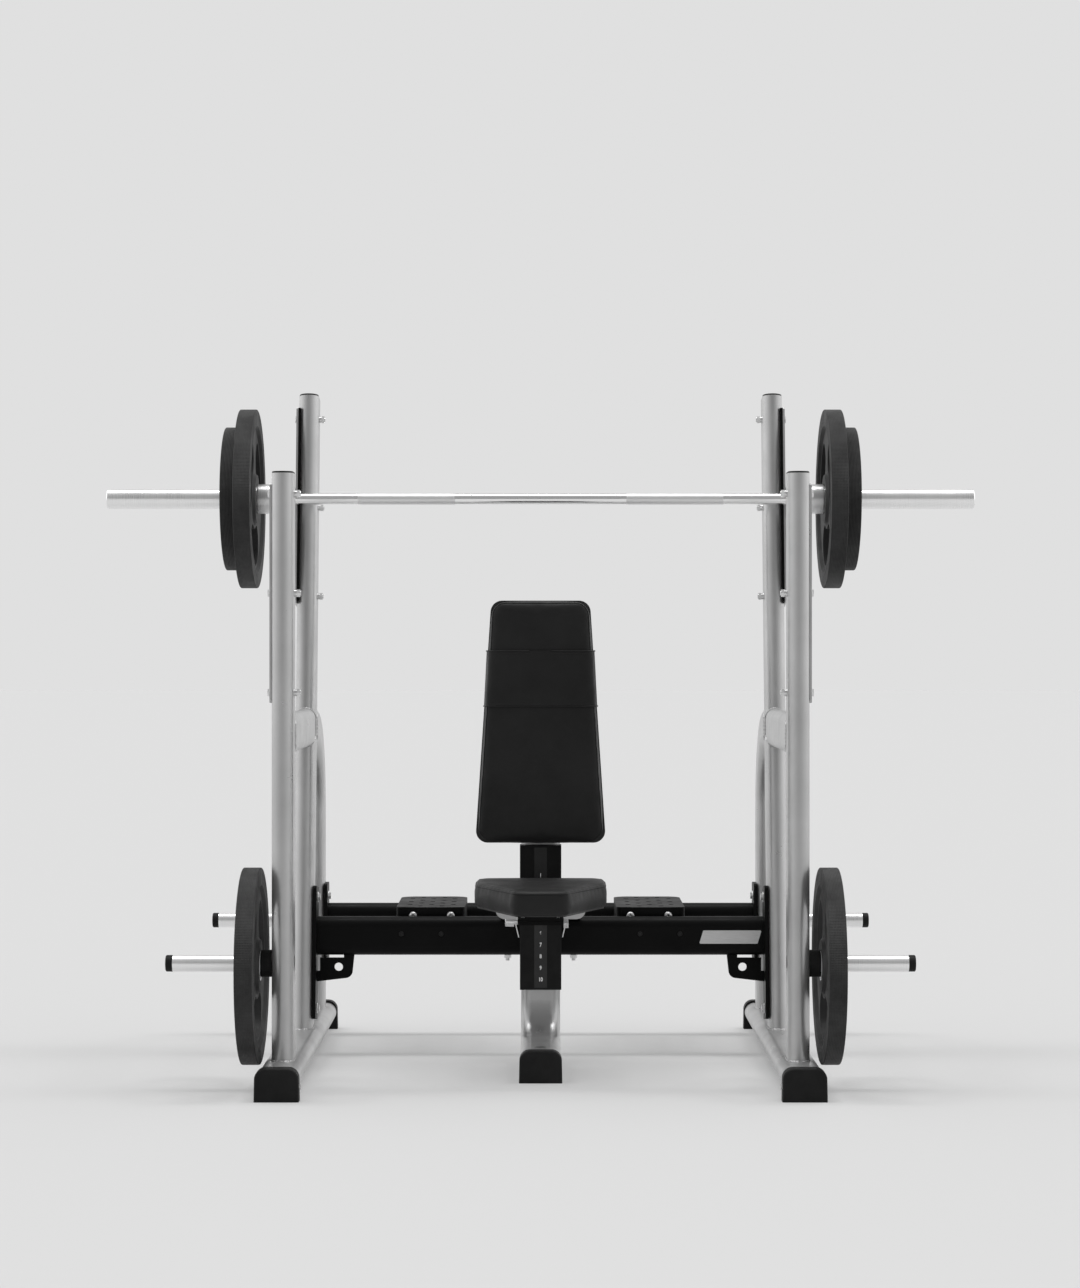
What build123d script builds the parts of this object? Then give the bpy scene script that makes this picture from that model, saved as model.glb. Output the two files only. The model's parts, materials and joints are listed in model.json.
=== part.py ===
"""Seated olympic press bench: two side frames, two crossbeams, an adjustable seat and a loaded barbell.

Millimetres. +Z is up, the user faces -Y, and the plane X = 0 halves the bench. The origin lies on the
floor in the middle of the footprint. Each piece is modelled for the +X side and mirrored to the -X side.
"""

import os
from math import cos, radians, sin, tan

from build123d import *

os.makedirs("parts", exist_ok=True)

# Flat-oval frame tube
TUBE_WIDE = 96
TUBE_THIN = 50
TUBE_WALL = 3
TUBE_BEND = 225

# Side frames
SIDE_X = 589.5
OUTER_X = SIDE_X + TUBE_THIN / 2
INNER_X = SIDE_X - TUBE_THIN / 2
RAIL_BOTTOM = 20
RAIL_TOP = RAIL_BOTTOM + TUBE_THIN
RAIL_Z = RAIL_BOTTOM + TUBE_THIN / 2
FRONT_END = 198
REAR_END = 1130
DISC_R = 225
FRONT_UPRIGHT_Y = (DISC_R - REAR_END) / 2
FRONT_UPRIGHT_TOP = 1412
LEAN = 8
REAR_UPRIGHT_BASE_Y = FRONT_UPRIGHT_Y + 577
REAR_UPRIGHT_TOP = 1648
REAR_LEG_Y = FRONT_UPRIGHT_Y + 1002
SPAR_Z = 813
CAP_THICK = 4
CAP_PLUG = 14

# Feet
FOOT_LENGTH = 35
FOOT_HEIGHT = 75
FOOT_BOTTOM_WIDE = 101
FOOT_TOP_WIDE = 98
FOOT_CORNER = 24
PLUG_LENGTH = 30
PLUG_GAP = 0.2

# Crossbeams
BEAM_Z = 295
BEAM_TOP = BEAM_Z + TUBE_WIDE / 2
BEAM_BOTTOM = BEAM_Z - TUBE_WIDE / 2
END_PLATE = 8
BEAM_HALF = INNER_X - END_PLATE
FRONT_PLATE_Z = (89, 418)
REAR_PLATE_Z = (194, 396)
END_PLATE_WIDE = 80
FRAME_BOLT_R = 5.8
BOLT_GAP = 0.2

# Rack plates, hooks and their bolts
RACK_PLATE = 5
RACK_LENGTH = 502
RACK_DEPTH = 80
RACK_BOLT_PITCH = 228
RACK_BOLT_R = 5.8
FRONT_RACK_Z = 1138
REAR_RACK_Z = 1368
HOOK_WIDE = 30
LINER_WIDE = 6
LINER_DEPTH = 17

# Storage horns
HORN_R = 19
HORN_ROOT_R = 19.6
HORN_WALL = 3
FRONT_HORN_Z = 289.5
REAR_HORN_Z = 297.5
HORN_END = 859
HORN_CAP = 16
BUMPER_R = 31
BUMPER_LONG = 25

# Seat post
POST_Y = FRONT_UPRIGHT_Y + 498
POST_BACK = POST_Y + TUBE_THIN / 2
POST_BEND = 105
POST_TOP = 1040
POST_FRONT = FRONT_UPRIGHT_Y + 96
HOUSING_FRONT = FRONT_UPRIGHT_Y + 445
HOUSING_HALF = 50.5
HOUSING_WALL = 2.4
HOUSING_FACE = 4
HOUSING_Z = (178, 530)
SCALE_STEPS = 10
SCALE_PITCH = 28.2
REST_STEP = 5
PIN_Z = 344
PIN_Y = HOUSING_FRONT + 15
PIN_R = 5
PIN_HOLE_R = 5.3

# Back pad
PAD_FRONT = FRONT_UPRIGHT_Y + 392
PAD_THICK = 60
PAD_Z = (538, 1126)
PAD_TOP_HALF = 119
PAD_BOTTOM_HALF = 158
BOARD_THICK = 12
BAND_Z = (869, 1006)
BAND_THICK = 2

# Seat
SEAT_FRONT = FRONT_UPRIGHT_Y - 17
SEAT_REAR = FRONT_UPRIGHT_Y + 378
SEAT_HALF = 159
SEAT_NOSE_HALF = 63
SEAT_WIDEST_Y = FRONT_UPRIGHT_Y + 225
SEAT_TOP = 456
SEAT_PAD_THICK = 50
SEAT_BOARD = 10
SEAT_PLATE = 6
WING_HALF = 110
WING_BOTTOM = 352
CARRIAGE_Z = (336, 420)
CARRIAGE_WALL = 3.5
GLIDE = 1.7
RUNNING_GAP = 0.3

# Barbell
BAR_Y = FRONT_UPRIGHT_Y + 695
BAR_Z = 1387
BAR_HALF = 1092
SHAFT_R = 14.25
SHAFT_HALF = 655
JOURNAL_R = 12.5
COLLAR_R = 37.25
COLLAR_END = 712
SLEEVE_R = 25
BUSH_R = 16
BUSH_GAP = 0.05
BUSH_SPANS = ((662, 702), (1040, 1072))
END_CAP = 8
MARK_X = 471

# Discs
BORE_R = 25.3
LARGE_THICK = 42
SMALL_R = 180
SMALL_THICK = 36
STORED_THICK = 41
STORED_START = 641
DISC_START = 713
DISC_GAP = 0.3


def rear_upright_y(z):
    """Centre line of the leaning rear upright at a height."""
    return REAR_UPRIGHT_BASE_Y + (z - RAIL_TOP) * tan(radians(LEAN))


FRONT_BEAM_Y = rear_upright_y(BEAM_Z)
BEAM_FRONT = FRONT_BEAM_Y - TUBE_THIN / 2
BEAM_BACK = FRONT_BEAM_Y + TUBE_THIN / 2
LEAN_UP = (0, sin(radians(LEAN)), cos(radians(LEAN)))
LEAN_BACK = (0, cos(radians(LEAN)), -sin(radians(LEAN)))


def lean_plane(x, z):
    """A plane that faces +X on the rear upright's centre line, with its x axis across the depth."""
    return Plane(origin=(x, rear_upright_y(z), z), x_dir=LEAN_BACK, z_dir=(1, 0, 0))


def rear_section(z):
    """The plane square to the rear upright at a height, with its x axis along X."""
    return Plane(origin=(SIDE_X, rear_upright_y(z), z), x_dir=(1, 0, 0), z_dir=LEAN_UP)


def across(x, y, z):
    """A plane that faces +X, with its own x axis along Y and its y axis along Z."""
    return Plane(origin=(x, y, z), x_dir=(0, 1, 0), z_dir=(1, 0, 0))


def along(x, y, z):
    """A plane that faces +Y, with its own x axis along X and its y axis down."""
    return Plane(origin=(x, y, z), x_dir=(1, 0, 0), z_dir=(0, 1, 0))


def flat_oval(rotation=0, shrink=0, mode=Mode.ADD):
    """The frame tube's section, or the same section drawn in by a wall."""
    SlotOverall(TUBE_WIDE - 2 * shrink, TUBE_THIN - 2 * shrink, rotation=rotation, mode=mode)


def x_hole(radius, start, end, y, z):
    """Cuts a round hole along X through the piece being built."""
    with Locations(((start + end) / 2, y, z)):
        Cylinder(radius, abs(end - start), rotation=(0, 90, 0), mode=Mode.SUBTRACT)


def save(piece, name):
    """Labels a finished piece and writes its file."""
    piece.part.label = name
    export_step(piece.part, f"parts/{name}.step")


def save_pair(piece, name):
    """Writes a +X piece as the right one and its mirror image as the left one."""
    left = mirror(piece.part, about=Plane.YZ)
    left.label = f"{name}_left"
    export_step(left, f"parts/{name}_left.step")
    save(piece, f"{name}_right")


# ---------------------------------------------------------------- side frames

RACK_BOLTS = (-RACK_BOLT_PITCH, 0, RACK_BOLT_PITCH)
FRONT_BOLT_Z = [FRONT_RACK_Z + step for step in RACK_BOLTS]
REAR_BOLT_Z = [REAR_RACK_Z + step * cos(radians(LEAN)) for step in RACK_BOLTS]
FRONT_PLATE_BOLT_Z = (117, 390)
REAR_PLATE_BOLT_Z = (228, 362)

with BuildPart() as base_rail:
    with BuildSketch(along(SIDE_X, FRONT_UPRIGHT_Y - FRONT_END + FOOT_LENGTH, RAIL_Z)):
        flat_oval()
        flat_oval(shrink=TUBE_WALL, mode=Mode.SUBTRACT)
    extrude(amount=FRONT_END + REAR_END - 2 * FOOT_LENGTH)
save_pair(base_rail, "base_rail")

with BuildPart() as front_upright:
    with BuildSketch(Plane(origin=(SIDE_X, FRONT_UPRIGHT_Y, RAIL_TOP))):
        flat_oval(rotation=90)
        flat_oval(rotation=90, shrink=TUBE_WALL, mode=Mode.SUBTRACT)
    extrude(amount=FRONT_UPRIGHT_TOP - RAIL_TOP)
    for z in FRONT_BOLT_Z:
        x_hole(RACK_BOLT_R + BOLT_GAP, INNER_X - 1, OUTER_X + 1, FRONT_UPRIGHT_Y, z)
    x_hole(HORN_R + BOLT_GAP, INNER_X - 1, SIDE_X, FRONT_UPRIGHT_Y, FRONT_HORN_Z)
save_pair(front_upright, "front_upright")

with BuildPart() as rear_upright:
    with BuildSketch(rear_section(0)):
        flat_oval(rotation=90)
        flat_oval(rotation=90, shrink=TUBE_WALL, mode=Mode.SUBTRACT)
    extrude(amount=REAR_UPRIGHT_TOP / cos(radians(LEAN)))
    split(bisect_by=Plane.XY.offset(RAIL_TOP), keep=Keep.TOP)
    for z in REAR_BOLT_Z:
        x_hole(RACK_BOLT_R + BOLT_GAP, INNER_X - 1, OUTER_X + 1, rear_upright_y(z), z)
    for z in FRONT_PLATE_BOLT_Z:
        x_hole(FRAME_BOLT_R + BOLT_GAP, INNER_X - 1, SIDE_X, rear_upright_y(z), z)
save_pair(rear_upright, "rear_upright")

with BuildPart() as spars:
    with BuildSketch(along(SIDE_X, FRONT_UPRIGHT_Y, SPAR_Z)):
        flat_oval(rotation=90)
        flat_oval(rotation=90, shrink=TUBE_WALL, mode=Mode.SUBTRACT)
    extrude(amount=rear_upright_y(SPAR_Z) - FRONT_UPRIGHT_Y)
    with BuildSketch(Plane(origin=(SIDE_X, FRONT_UPRIGHT_Y, SPAR_Z - TUBE_WIDE))):
        flat_oval(rotation=90)
    extrude(amount=2 * TUBE_WIDE, mode=Mode.SUBTRACT)
    with BuildSketch(rear_section(SPAR_Z - TUBE_WIDE)):
        flat_oval(rotation=90)
    extrude(amount=2 * TUBE_WIDE, mode=Mode.SUBTRACT)
    mirror(about=Plane.YZ)
save(spars, "spars")

with BuildPart() as rear_arch:
    with BuildLine(Plane.YZ.offset(SIDE_X)) as arch_path:
        FilletPolyline(
            (rear_upright_y(SPAR_Z), SPAR_Z), (REAR_LEG_Y, SPAR_Z), (REAR_LEG_Y, RAIL_TOP), radius=TUBE_BEND
        )
    with BuildSketch(along(SIDE_X, rear_upright_y(SPAR_Z), SPAR_Z)):
        flat_oval(rotation=90)
        flat_oval(rotation=90, shrink=TUBE_WALL, mode=Mode.SUBTRACT)
    sweep(path=arch_path.wires()[0])
    with BuildSketch(rear_section(SPAR_Z - TUBE_WIDE)):
        flat_oval(rotation=90)
    extrude(amount=2 * TUBE_WIDE, mode=Mode.SUBTRACT)
    for z in REAR_PLATE_BOLT_Z:
        x_hole(FRAME_BOLT_R + BOLT_GAP, INNER_X - 1, SIDE_X, REAR_LEG_Y, z)
save_pair(rear_arch, "rear_arch")

with BuildPart() as upright_caps:
    front_top = Plane(origin=(SIDE_X, FRONT_UPRIGHT_Y, FRONT_UPRIGHT_TOP))
    rear_top = rear_section(0).offset(REAR_UPRIGHT_TOP / cos(radians(LEAN)))
    for top in (front_top, rear_top):
        with BuildSketch(top):
            flat_oval(rotation=90)
        extrude(amount=CAP_THICK, taper=20)
        with BuildSketch(top):
            flat_oval(rotation=90, shrink=TUBE_WALL + PLUG_GAP)
        extrude(amount=-CAP_PLUG)
    mirror(about=Plane.YZ)
    with BuildSketch(Plane(origin=(0, POST_Y, POST_TOP))):
        flat_oval()
    extrude(amount=CAP_THICK, taper=20)
    with BuildSketch(Plane(origin=(0, POST_Y, POST_TOP))):
        flat_oval(shrink=TUBE_WALL + PLUG_GAP)
    extrude(amount=-CAP_PLUG)
save(upright_caps, "upright_caps")

# ---------------------------------------------------------------- feet

FOOT_BOLT_X = SIDE_X - 50
FOOT_BOLT_Y = FRONT_UPRIGHT_Y - FRONT_END + FOOT_LENGTH / 2
FOOT_BOLT_Z = 33
FOOT_BOLT_R = 4
FOOT_BOLT_DEEP = 20


def foot_block(x, y, facing):
    """A moulded end foot whose outer face is at y, with a plug that enters the tube behind it."""
    with BuildPart() as block:
        with BuildSketch(along(x, y, 0)) as face:
            with BuildLine():
                Polyline(
                    (-FOOT_BOTTOM_WIDE / 2, 0),
                    (-FOOT_TOP_WIDE / 2, -FOOT_HEIGHT),
                    (FOOT_TOP_WIDE / 2, -FOOT_HEIGHT),
                    (FOOT_BOTTOM_WIDE / 2, 0),
                    close=True,
                )
            make_face()
            fillet(face.vertices().group_by(Axis.Y)[0], radius=FOOT_CORNER)
        extrude(amount=-facing * FOOT_LENGTH)
        outer_face = block.faces().sort_by(Axis.Y)[-1 if facing > 0 else 0]
        chamfer(outer_face.edges().sort_by(Axis.Z)[1:], length=2.5)
        with BuildSketch(along(x, y - facing * FOOT_LENGTH, RAIL_Z)):
            flat_oval(shrink=TUBE_WALL + PLUG_GAP)
        extrude(amount=-facing * PLUG_LENGTH)
    return block.part


front_foot = foot_block(SIDE_X, FRONT_UPRIGHT_Y - FRONT_END, -1)
rear_foot = foot_block(SIDE_X, FRONT_UPRIGHT_Y + REAR_END, 1)
middle_foot = foot_block(0, POST_FRONT, -1)

with BuildPart() as front_feet:
    add(front_foot)
    x_hole(FOOT_BOLT_R + BOLT_GAP, FOOT_BOLT_X - 2, FOOT_BOLT_X + FOOT_BOLT_DEEP + 1, FOOT_BOLT_Y, FOOT_BOLT_Z)
    mirror(about=Plane.YZ)
save(front_feet, "front_feet")

with BuildPart() as rear_feet:
    add(rear_foot)
    mirror(about=Plane.YZ)
save(rear_feet, "rear_feet")

with BuildPart() as centre_foot:
    add(middle_foot)
save(centre_foot, "centre_foot")

# ---------------------------------------------------------------- crossbeams

DECK_X = (190, 361)
ARM_X = (247, 346)
ARM_WIDE = 16
ARM_Z = (285, 318)
ARM_BOLT_R = 4
ARM_BOLT_DEEP = 20
ARM_BOLT_Z = (ARM_Z[0] + ARM_Z[1]) / 2
POST_BOLT_X = 82
POST_BOLT_R = 5
BRACKET_HALF = 25
BRACKET_PLATE = 8

with BuildPart() as front_crossbeam:
    with BuildSketch(across(-BEAM_HALF, FRONT_BEAM_Y, BEAM_Z)):
        flat_oval(rotation=90)
        flat_oval(rotation=90, shrink=TUBE_WALL, mode=Mode.SUBTRACT)
    extrude(amount=2 * BEAM_HALF)
    with Locations(*[(side * x, FRONT_BEAM_Y, ARM_BOLT_Z) for side in (-1, 1) for x in ARM_X]):
        Cylinder(ARM_BOLT_R + BOLT_GAP, TUBE_THIN + 2, rotation=(90, 0, 0), mode=Mode.SUBTRACT)
    with Locations(*[(side * POST_BOLT_X, FRONT_BEAM_Y, BEAM_Z) for side in (-1, 1)]):
        Cylinder(POST_BOLT_R + BOLT_GAP, TUBE_WIDE + 2, mode=Mode.SUBTRACT)
save(front_crossbeam, "front_crossbeam")

with BuildPart() as rear_crossbeam:
    with BuildSketch(across(-BEAM_HALF, REAR_LEG_Y, BEAM_Z)):
        flat_oval(rotation=90)
        flat_oval(rotation=90, shrink=TUBE_WALL, mode=Mode.SUBTRACT)
    extrude(amount=2 * BEAM_HALF)
save(rear_crossbeam, "rear_crossbeam")

with BuildPart() as beam_end_plates:
    with BuildSketch(lean_plane(BEAM_HALF, sum(FRONT_PLATE_Z) / 2)):
        RectangleRounded(END_PLATE_WIDE, FRONT_PLATE_Z[1] - FRONT_PLATE_Z[0], 12)
    extrude(amount=END_PLATE)
    for z in FRONT_PLATE_BOLT_Z:
        x_hole(FRAME_BOLT_R + BOLT_GAP, BEAM_HALF - 1, INNER_X + 1, rear_upright_y(z), z)
    with BuildSketch(across(BEAM_HALF, REAR_LEG_Y, sum(REAR_PLATE_Z) / 2)):
        RectangleRounded(END_PLATE_WIDE, REAR_PLATE_Z[1] - REAR_PLATE_Z[0], 12)
    extrude(amount=END_PLATE)
    for z in REAR_PLATE_BOLT_Z:
        x_hole(FRAME_BOLT_R + BOLT_GAP, BEAM_HALF - 1, INNER_X + 1, REAR_LEG_Y, z)
    mirror(about=Plane.YZ)
save(beam_end_plates, "beam_end_plates")

GUSSET_THICK = 8
GUSSET_HOLE_R = 10.5
GUSSET_HOLE = (503, 217)
GUSSET_INNER = 464
GUSSET_LOW = 181
GUSSET_TIP = (470, 191)
RELIEF_X = 490
RELIEF_Z = 207
RELIEF = 7
RELIEF_TAB = (534, 540)

with BuildPart() as beam_gussets:
    with BuildSketch(along(0, FRONT_BEAM_Y - GUSSET_THICK / 2, 0)) as blank:
        with BuildLine():
            Polyline(
                (GUSSET_INNER, -BEAM_BOTTOM),
                (BEAM_HALF, -BEAM_BOTTOM),
                (BEAM_HALF, -GUSSET_LOW),
                (GUSSET_TIP[0], -GUSSET_TIP[1]),
                close=True,
            )
        make_face()
        fillet(blank.vertices().group_by(Axis.X)[1], radius=18)
        with Locations((GUSSET_HOLE[0], -GUSSET_HOLE[1])):
            Circle(GUSSET_HOLE_R, mode=Mode.SUBTRACT)
        with Locations(((RELIEF_X + RELIEF_TAB[0]) / 2, RELIEF / 2 - BEAM_BOTTOM)):
            Rectangle(RELIEF_TAB[0] - RELIEF_X, RELIEF, mode=Mode.SUBTRACT)
        with Locations(((RELIEF_TAB[1] + BEAM_HALF) / 2, RELIEF / 2 - BEAM_BOTTOM)):
            Rectangle(BEAM_HALF - RELIEF_TAB[1], RELIEF, mode=Mode.SUBTRACT)
        with Locations((BEAM_HALF - RELIEF / 2, -(BEAM_BOTTOM + RELIEF_Z) / 2)):
            Rectangle(RELIEF, BEAM_BOTTOM - RELIEF_Z, mode=Mode.SUBTRACT)
    extrude(amount=GUSSET_THICK)
    mirror(about=Plane.YZ)
save(beam_gussets, "beam_gussets")

BADGE_X = (394, 549)
BADGE_Z = (277, 310)
BADGE_SLANT = 10
BADGE_THICK = 1.5

with BuildPart() as badge_plate:
    with BuildSketch(along(0, BEAM_FRONT, 0)) as badge:
        with BuildLine():
            Polyline(
                (BADGE_X[0] + BADGE_SLANT, -BADGE_Z[1]),
                (BADGE_X[1], -BADGE_Z[1]),
                (BADGE_X[1] - BADGE_SLANT, -BADGE_Z[0]),
                (BADGE_X[0], -BADGE_Z[0]),
                close=True,
            )
        make_face()
        fillet(badge.vertices(), radius=3)
    extrude(amount=-BADGE_THICK)
save(badge_plate, "badge_plate")

HEX_R = 9.5
HEX_HIGH = 7
POST_HEX_R = 8.8

with BuildPart() as frame_bolts:
    end_plate_bolts = [(rear_upright_y(z), z) for z in FRONT_PLATE_BOLT_Z]
    end_plate_bolts += [(REAR_LEG_Y, z) for z in REAR_PLATE_BOLT_Z]
    for y, z in end_plate_bolts:
        with BuildSketch(across(BEAM_HALF, y, z)):
            RegularPolygon(HEX_R, 6)
        extrude(amount=-HEX_HIGH)
        with BuildSketch(across(BEAM_HALF, y, z)):
            Circle(FRAME_BOLT_R)
        extrude(amount=END_PLATE + 12)
    with BuildSketch(across(FOOT_BOLT_X, FOOT_BOLT_Y, FOOT_BOLT_Z)):
        RegularPolygon(7, 6)
    extrude(amount=-4)
    with BuildSketch(across(FOOT_BOLT_X, FOOT_BOLT_Y, FOOT_BOLT_Z)):
        Circle(FOOT_BOLT_R)
    extrude(amount=FOOT_BOLT_DEEP)
    with BuildSketch(Plane(origin=(POST_BOLT_X, FRONT_BEAM_Y, BEAM_BOTTOM - 14))):
        Circle(POST_BOLT_R)
    extrude(amount=14 + TUBE_WIDE + BRACKET_PLATE)
    with BuildSketch(Plane(origin=(POST_BOLT_X, FRONT_BEAM_Y, BEAM_BOTTOM))):
        RegularPolygon(POST_HEX_R, 6)
    extrude(amount=-8)
    with BuildSketch(Plane(origin=(POST_BOLT_X, FRONT_BEAM_Y, BEAM_TOP + BRACKET_PLATE))):
        RegularPolygon(POST_HEX_R, 6)
    extrude(amount=6)
    mirror(about=Plane.YZ)
save(frame_bolts, "frame_bolts")

# ---------------------------------------------------------------- spotter platforms

DECK_Y = (FRONT_UPRIGHT_Y + 642, FRONT_UPRIGHT_Y + 962)
DECK_TOP = 363
DECK_SKIRT = 63
DECK_WALL = 4
DECK_BOW = 8
DECK_HOLE_R = 7
DECK_HOLE_X = 27.25
DECK_HOLE_Y = 43
DECK_ROWS = 7
DECK_BOLT_X = (225, 319)
DECK_BOLT_Z = 342


def deck_outline(inset):
    """Plan of a platform: a slightly bowed front edge and round rear corners."""
    x0, x1 = DECK_X[0] + inset, DECK_X[1] - inset
    y0, y1 = DECK_Y[0] + inset, DECK_Y[1] - inset
    with BuildSketch() as outline:
        with BuildLine():
            ThreePointArc((x0, y0), ((x0 + x1) / 2, y0 - DECK_BOW), (x1, y0))
            Polyline((x1, y0), (x1, y1), (x0, y1), (x0, y0))
        make_face()
        fillet(outline.vertices().group_by(Axis.Y)[-1], radius=36 - inset)
        fillet(outline.vertices().group_by(Axis.Y)[0], radius=12 - inset)
    return outline.sketch


with BuildPart() as spotter_platforms:
    with BuildSketch(Plane.XY.offset(DECK_TOP - DECK_SKIRT)):
        add(deck_outline(0))
    extrude(amount=DECK_SKIRT)
    with BuildSketch(Plane.XY.offset(DECK_TOP - DECK_SKIRT)):
        add(deck_outline(DECK_WALL))
    extrude(amount=DECK_SKIRT - DECK_WALL, mode=Mode.SUBTRACT)
    for x in ARM_X:
        with Locations((x, (BEAM_BACK + REAR_LEG_Y - TUBE_THIN / 2) / 2, ARM_BOLT_Z)):
            Box(ARM_WIDE, REAR_LEG_Y - TUBE_THIN / 2 - BEAM_BACK, ARM_Z[1] - ARM_Z[0])
        with Locations((x, BEAM_BACK + ARM_BOLT_DEEP / 2, ARM_BOLT_Z)):
            Cylinder(ARM_BOLT_R + BOLT_GAP, ARM_BOLT_DEEP + 2, rotation=(90, 0, 0), mode=Mode.SUBTRACT)
    deck_middle = (DECK_X[0] + DECK_X[1]) / 2
    for row in range(DECK_ROWS):
        places = (-2, 0, 2) if row % 2 else (-1, 1)
        row_y = DECK_Y[0] + 32 + row * DECK_HOLE_Y
        with Locations(*[(deck_middle + place * DECK_HOLE_X, row_y, DECK_TOP) for place in places]):
            Cylinder(DECK_HOLE_R, 4 * DECK_WALL, mode=Mode.SUBTRACT)
    with Locations(*[(x, DECK_Y[0], DECK_BOLT_Z) for x in DECK_BOLT_X]):
        Cylinder(ARM_BOLT_R + BOLT_GAP, 6 * DECK_WALL, rotation=(90, 0, 0), mode=Mode.SUBTRACT)
    mirror(about=Plane.YZ)
save(spotter_platforms, "spotter_platforms")

DOME_R = 10
DOME_HIGH = 5

with BuildPart() as platform_bolts:
    for x in DECK_BOLT_X:
        bow = DECK_BOW * (1 - ((x - deck_middle) / (DECK_X[1] - deck_middle)) ** 2)
        with BuildSketch(along(x, DECK_Y[0] - bow - 1.4, DECK_BOLT_Z)):
            Circle(ARM_BOLT_R)
        extrude(amount=16)
        with BuildSketch(along(x, DECK_Y[0] - bow - 1.4, DECK_BOLT_Z)):
            Circle(DOME_R)
        extrude(amount=-DOME_HIGH, taper=28)
    for x in ARM_X:
        with BuildSketch(along(x, BEAM_FRONT, ARM_BOLT_Z)):
            Circle(ARM_BOLT_R)
        extrude(amount=TUBE_THIN + ARM_BOLT_DEEP)
        with BuildSketch(along(x, BEAM_FRONT, ARM_BOLT_Z)):
            Circle(6.5)
        extrude(amount=-3, taper=20)
    mirror(about=Plane.YZ)
save(platform_bolts, "platform_bolts")

# ---------------------------------------------------------------- seat post

ACCESS_HOLE_R = 14
ACCESS_HOLE_Y = FRONT_UPRIGHT_Y + 208

with BuildPart() as centre_leg:
    with BuildLine(Plane.YZ) as leg_path:
        FilletPolyline(
            (POST_FRONT + FOOT_LENGTH, RAIL_Z), (POST_Y, RAIL_Z), (POST_Y, POST_TOP), radius=POST_BEND
        )
    with BuildSketch(along(0, POST_FRONT + FOOT_LENGTH, RAIL_Z)):
        flat_oval()
        flat_oval(shrink=TUBE_WALL, mode=Mode.SUBTRACT)
    sweep(path=leg_path.wires()[0])
    with Locations((0, ACCESS_HOLE_Y, RAIL_TOP)):
        Cylinder(ACCESS_HOLE_R, 4 * TUBE_WALL, mode=Mode.SUBTRACT)
save(centre_leg, "centre_leg")

BRACKET_LOW = 70

with BuildPart() as post_bracket:
    with Locations((0, (POST_BACK + BEAM_FRONT) / 2, BEAM_TOP - BRACKET_LOW / 2)):
        Box(2 * BRACKET_HALF, BEAM_FRONT - POST_BACK, BRACKET_LOW)
    with Locations((0, (POST_BACK + BEAM_BACK) / 2, BEAM_TOP + BRACKET_PLATE / 2)):
        Box(2 * BRACKET_HALF, BEAM_BACK - POST_BACK, BRACKET_PLATE)
    with Locations((0, FRONT_BEAM_Y, BEAM_TOP + BRACKET_PLATE / 2)):
        Box(2 * POST_BOLT_X + 36, TUBE_THIN, BRACKET_PLATE)
    with Locations((-POST_BOLT_X, FRONT_BEAM_Y, BEAM_TOP), (POST_BOLT_X, FRONT_BEAM_Y, BEAM_TOP)):
        Cylinder(POST_BOLT_R + BOLT_GAP, 4 * BRACKET_PLATE, mode=Mode.SUBTRACT)
save(post_bracket, "post_bracket")

HOUSING_BACK = POST_Y + 5
HOUSING_LID = 4

with BuildPart() as post_housing:
    with BuildSketch(Plane.XY.offset(HOUSING_Z[0])):
        with Locations((0, (HOUSING_FRONT + HOUSING_BACK) / 2)):
            Rectangle(2 * HOUSING_HALF, HOUSING_BACK - HOUSING_FRONT)
        with Locations((0, (HOUSING_FRONT + HOUSING_BACK) / 2 + HOUSING_FACE)):
            Rectangle(2 * (HOUSING_HALF - HOUSING_WALL), HOUSING_BACK - HOUSING_FRONT, mode=Mode.SUBTRACT)
    extrude(amount=HOUSING_Z[1] - HOUSING_Z[0])
    fillet(post_housing.edges().filter_by(Axis.Z).group_by(Axis.Y)[0], radius=2)
    lid_front = HOUSING_FRONT + HOUSING_FACE
    lid_deep = POST_Y - TUBE_THIN / 2 - lid_front
    for z in (HOUSING_Z[0] + HOUSING_LID / 2, HOUSING_Z[1] - HOUSING_LID / 2):
        with Locations((0, lid_front + lid_deep / 2, z)):
            Box(2 * (HOUSING_HALF - HOUSING_WALL), lid_deep, HOUSING_LID)
    for step in range(SCALE_STEPS):
        hole_z = PIN_Z + (REST_STEP - 1 - step) * SCALE_PITCH
        x_hole(PIN_HOLE_R, -HOUSING_HALF - 1, -HOUSING_HALF + HOUSING_WALL + 1, PIN_Y, hole_z)
save(post_housing, "post_housing")

STRIP_HALF = 15.5
STRIP_THICK = 0.25

with BuildPart() as number_strip:
    with Locations((0, HOUSING_FRONT - STRIP_THICK / 2, sum(HOUSING_Z) / 2)):
        Box(2 * STRIP_HALF, STRIP_THICK, HOUSING_Z[1] - HOUSING_Z[0] - 10)
save(number_strip, "number_strip")

# ---------------------------------------------------------------- back pad


def pad_outline(grow):
    """Front view of the back pad, tapered towards the top, with x along X and y down."""
    with BuildSketch() as outline:
        with BuildLine():
            Polyline(
                (-PAD_BOTTOM_HALF - grow, grow - PAD_Z[0]),
                (-PAD_TOP_HALF - grow, -grow - PAD_Z[1]),
                (PAD_TOP_HALF + grow, -grow - PAD_Z[1]),
                (PAD_BOTTOM_HALF + grow, grow - PAD_Z[0]),
                close=True,
            )
        make_face()
        fillet(outline.vertices(), radius=27 + grow)
    return outline.sketch


BOARD_FRONT = PAD_FRONT + PAD_THICK
BOARD_BACK = BOARD_FRONT + BOARD_THICK
BOARD_GROW = 1.5

with BuildPart() as back_pad:
    with BuildSketch(along(0, PAD_FRONT, 0)):
        add(pad_outline(0))
    extrude(amount=PAD_THICK)
    fillet(back_pad.faces().sort_by(Axis.Y)[0].edges(), radius=12)
save(back_pad, "back_pad")

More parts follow.
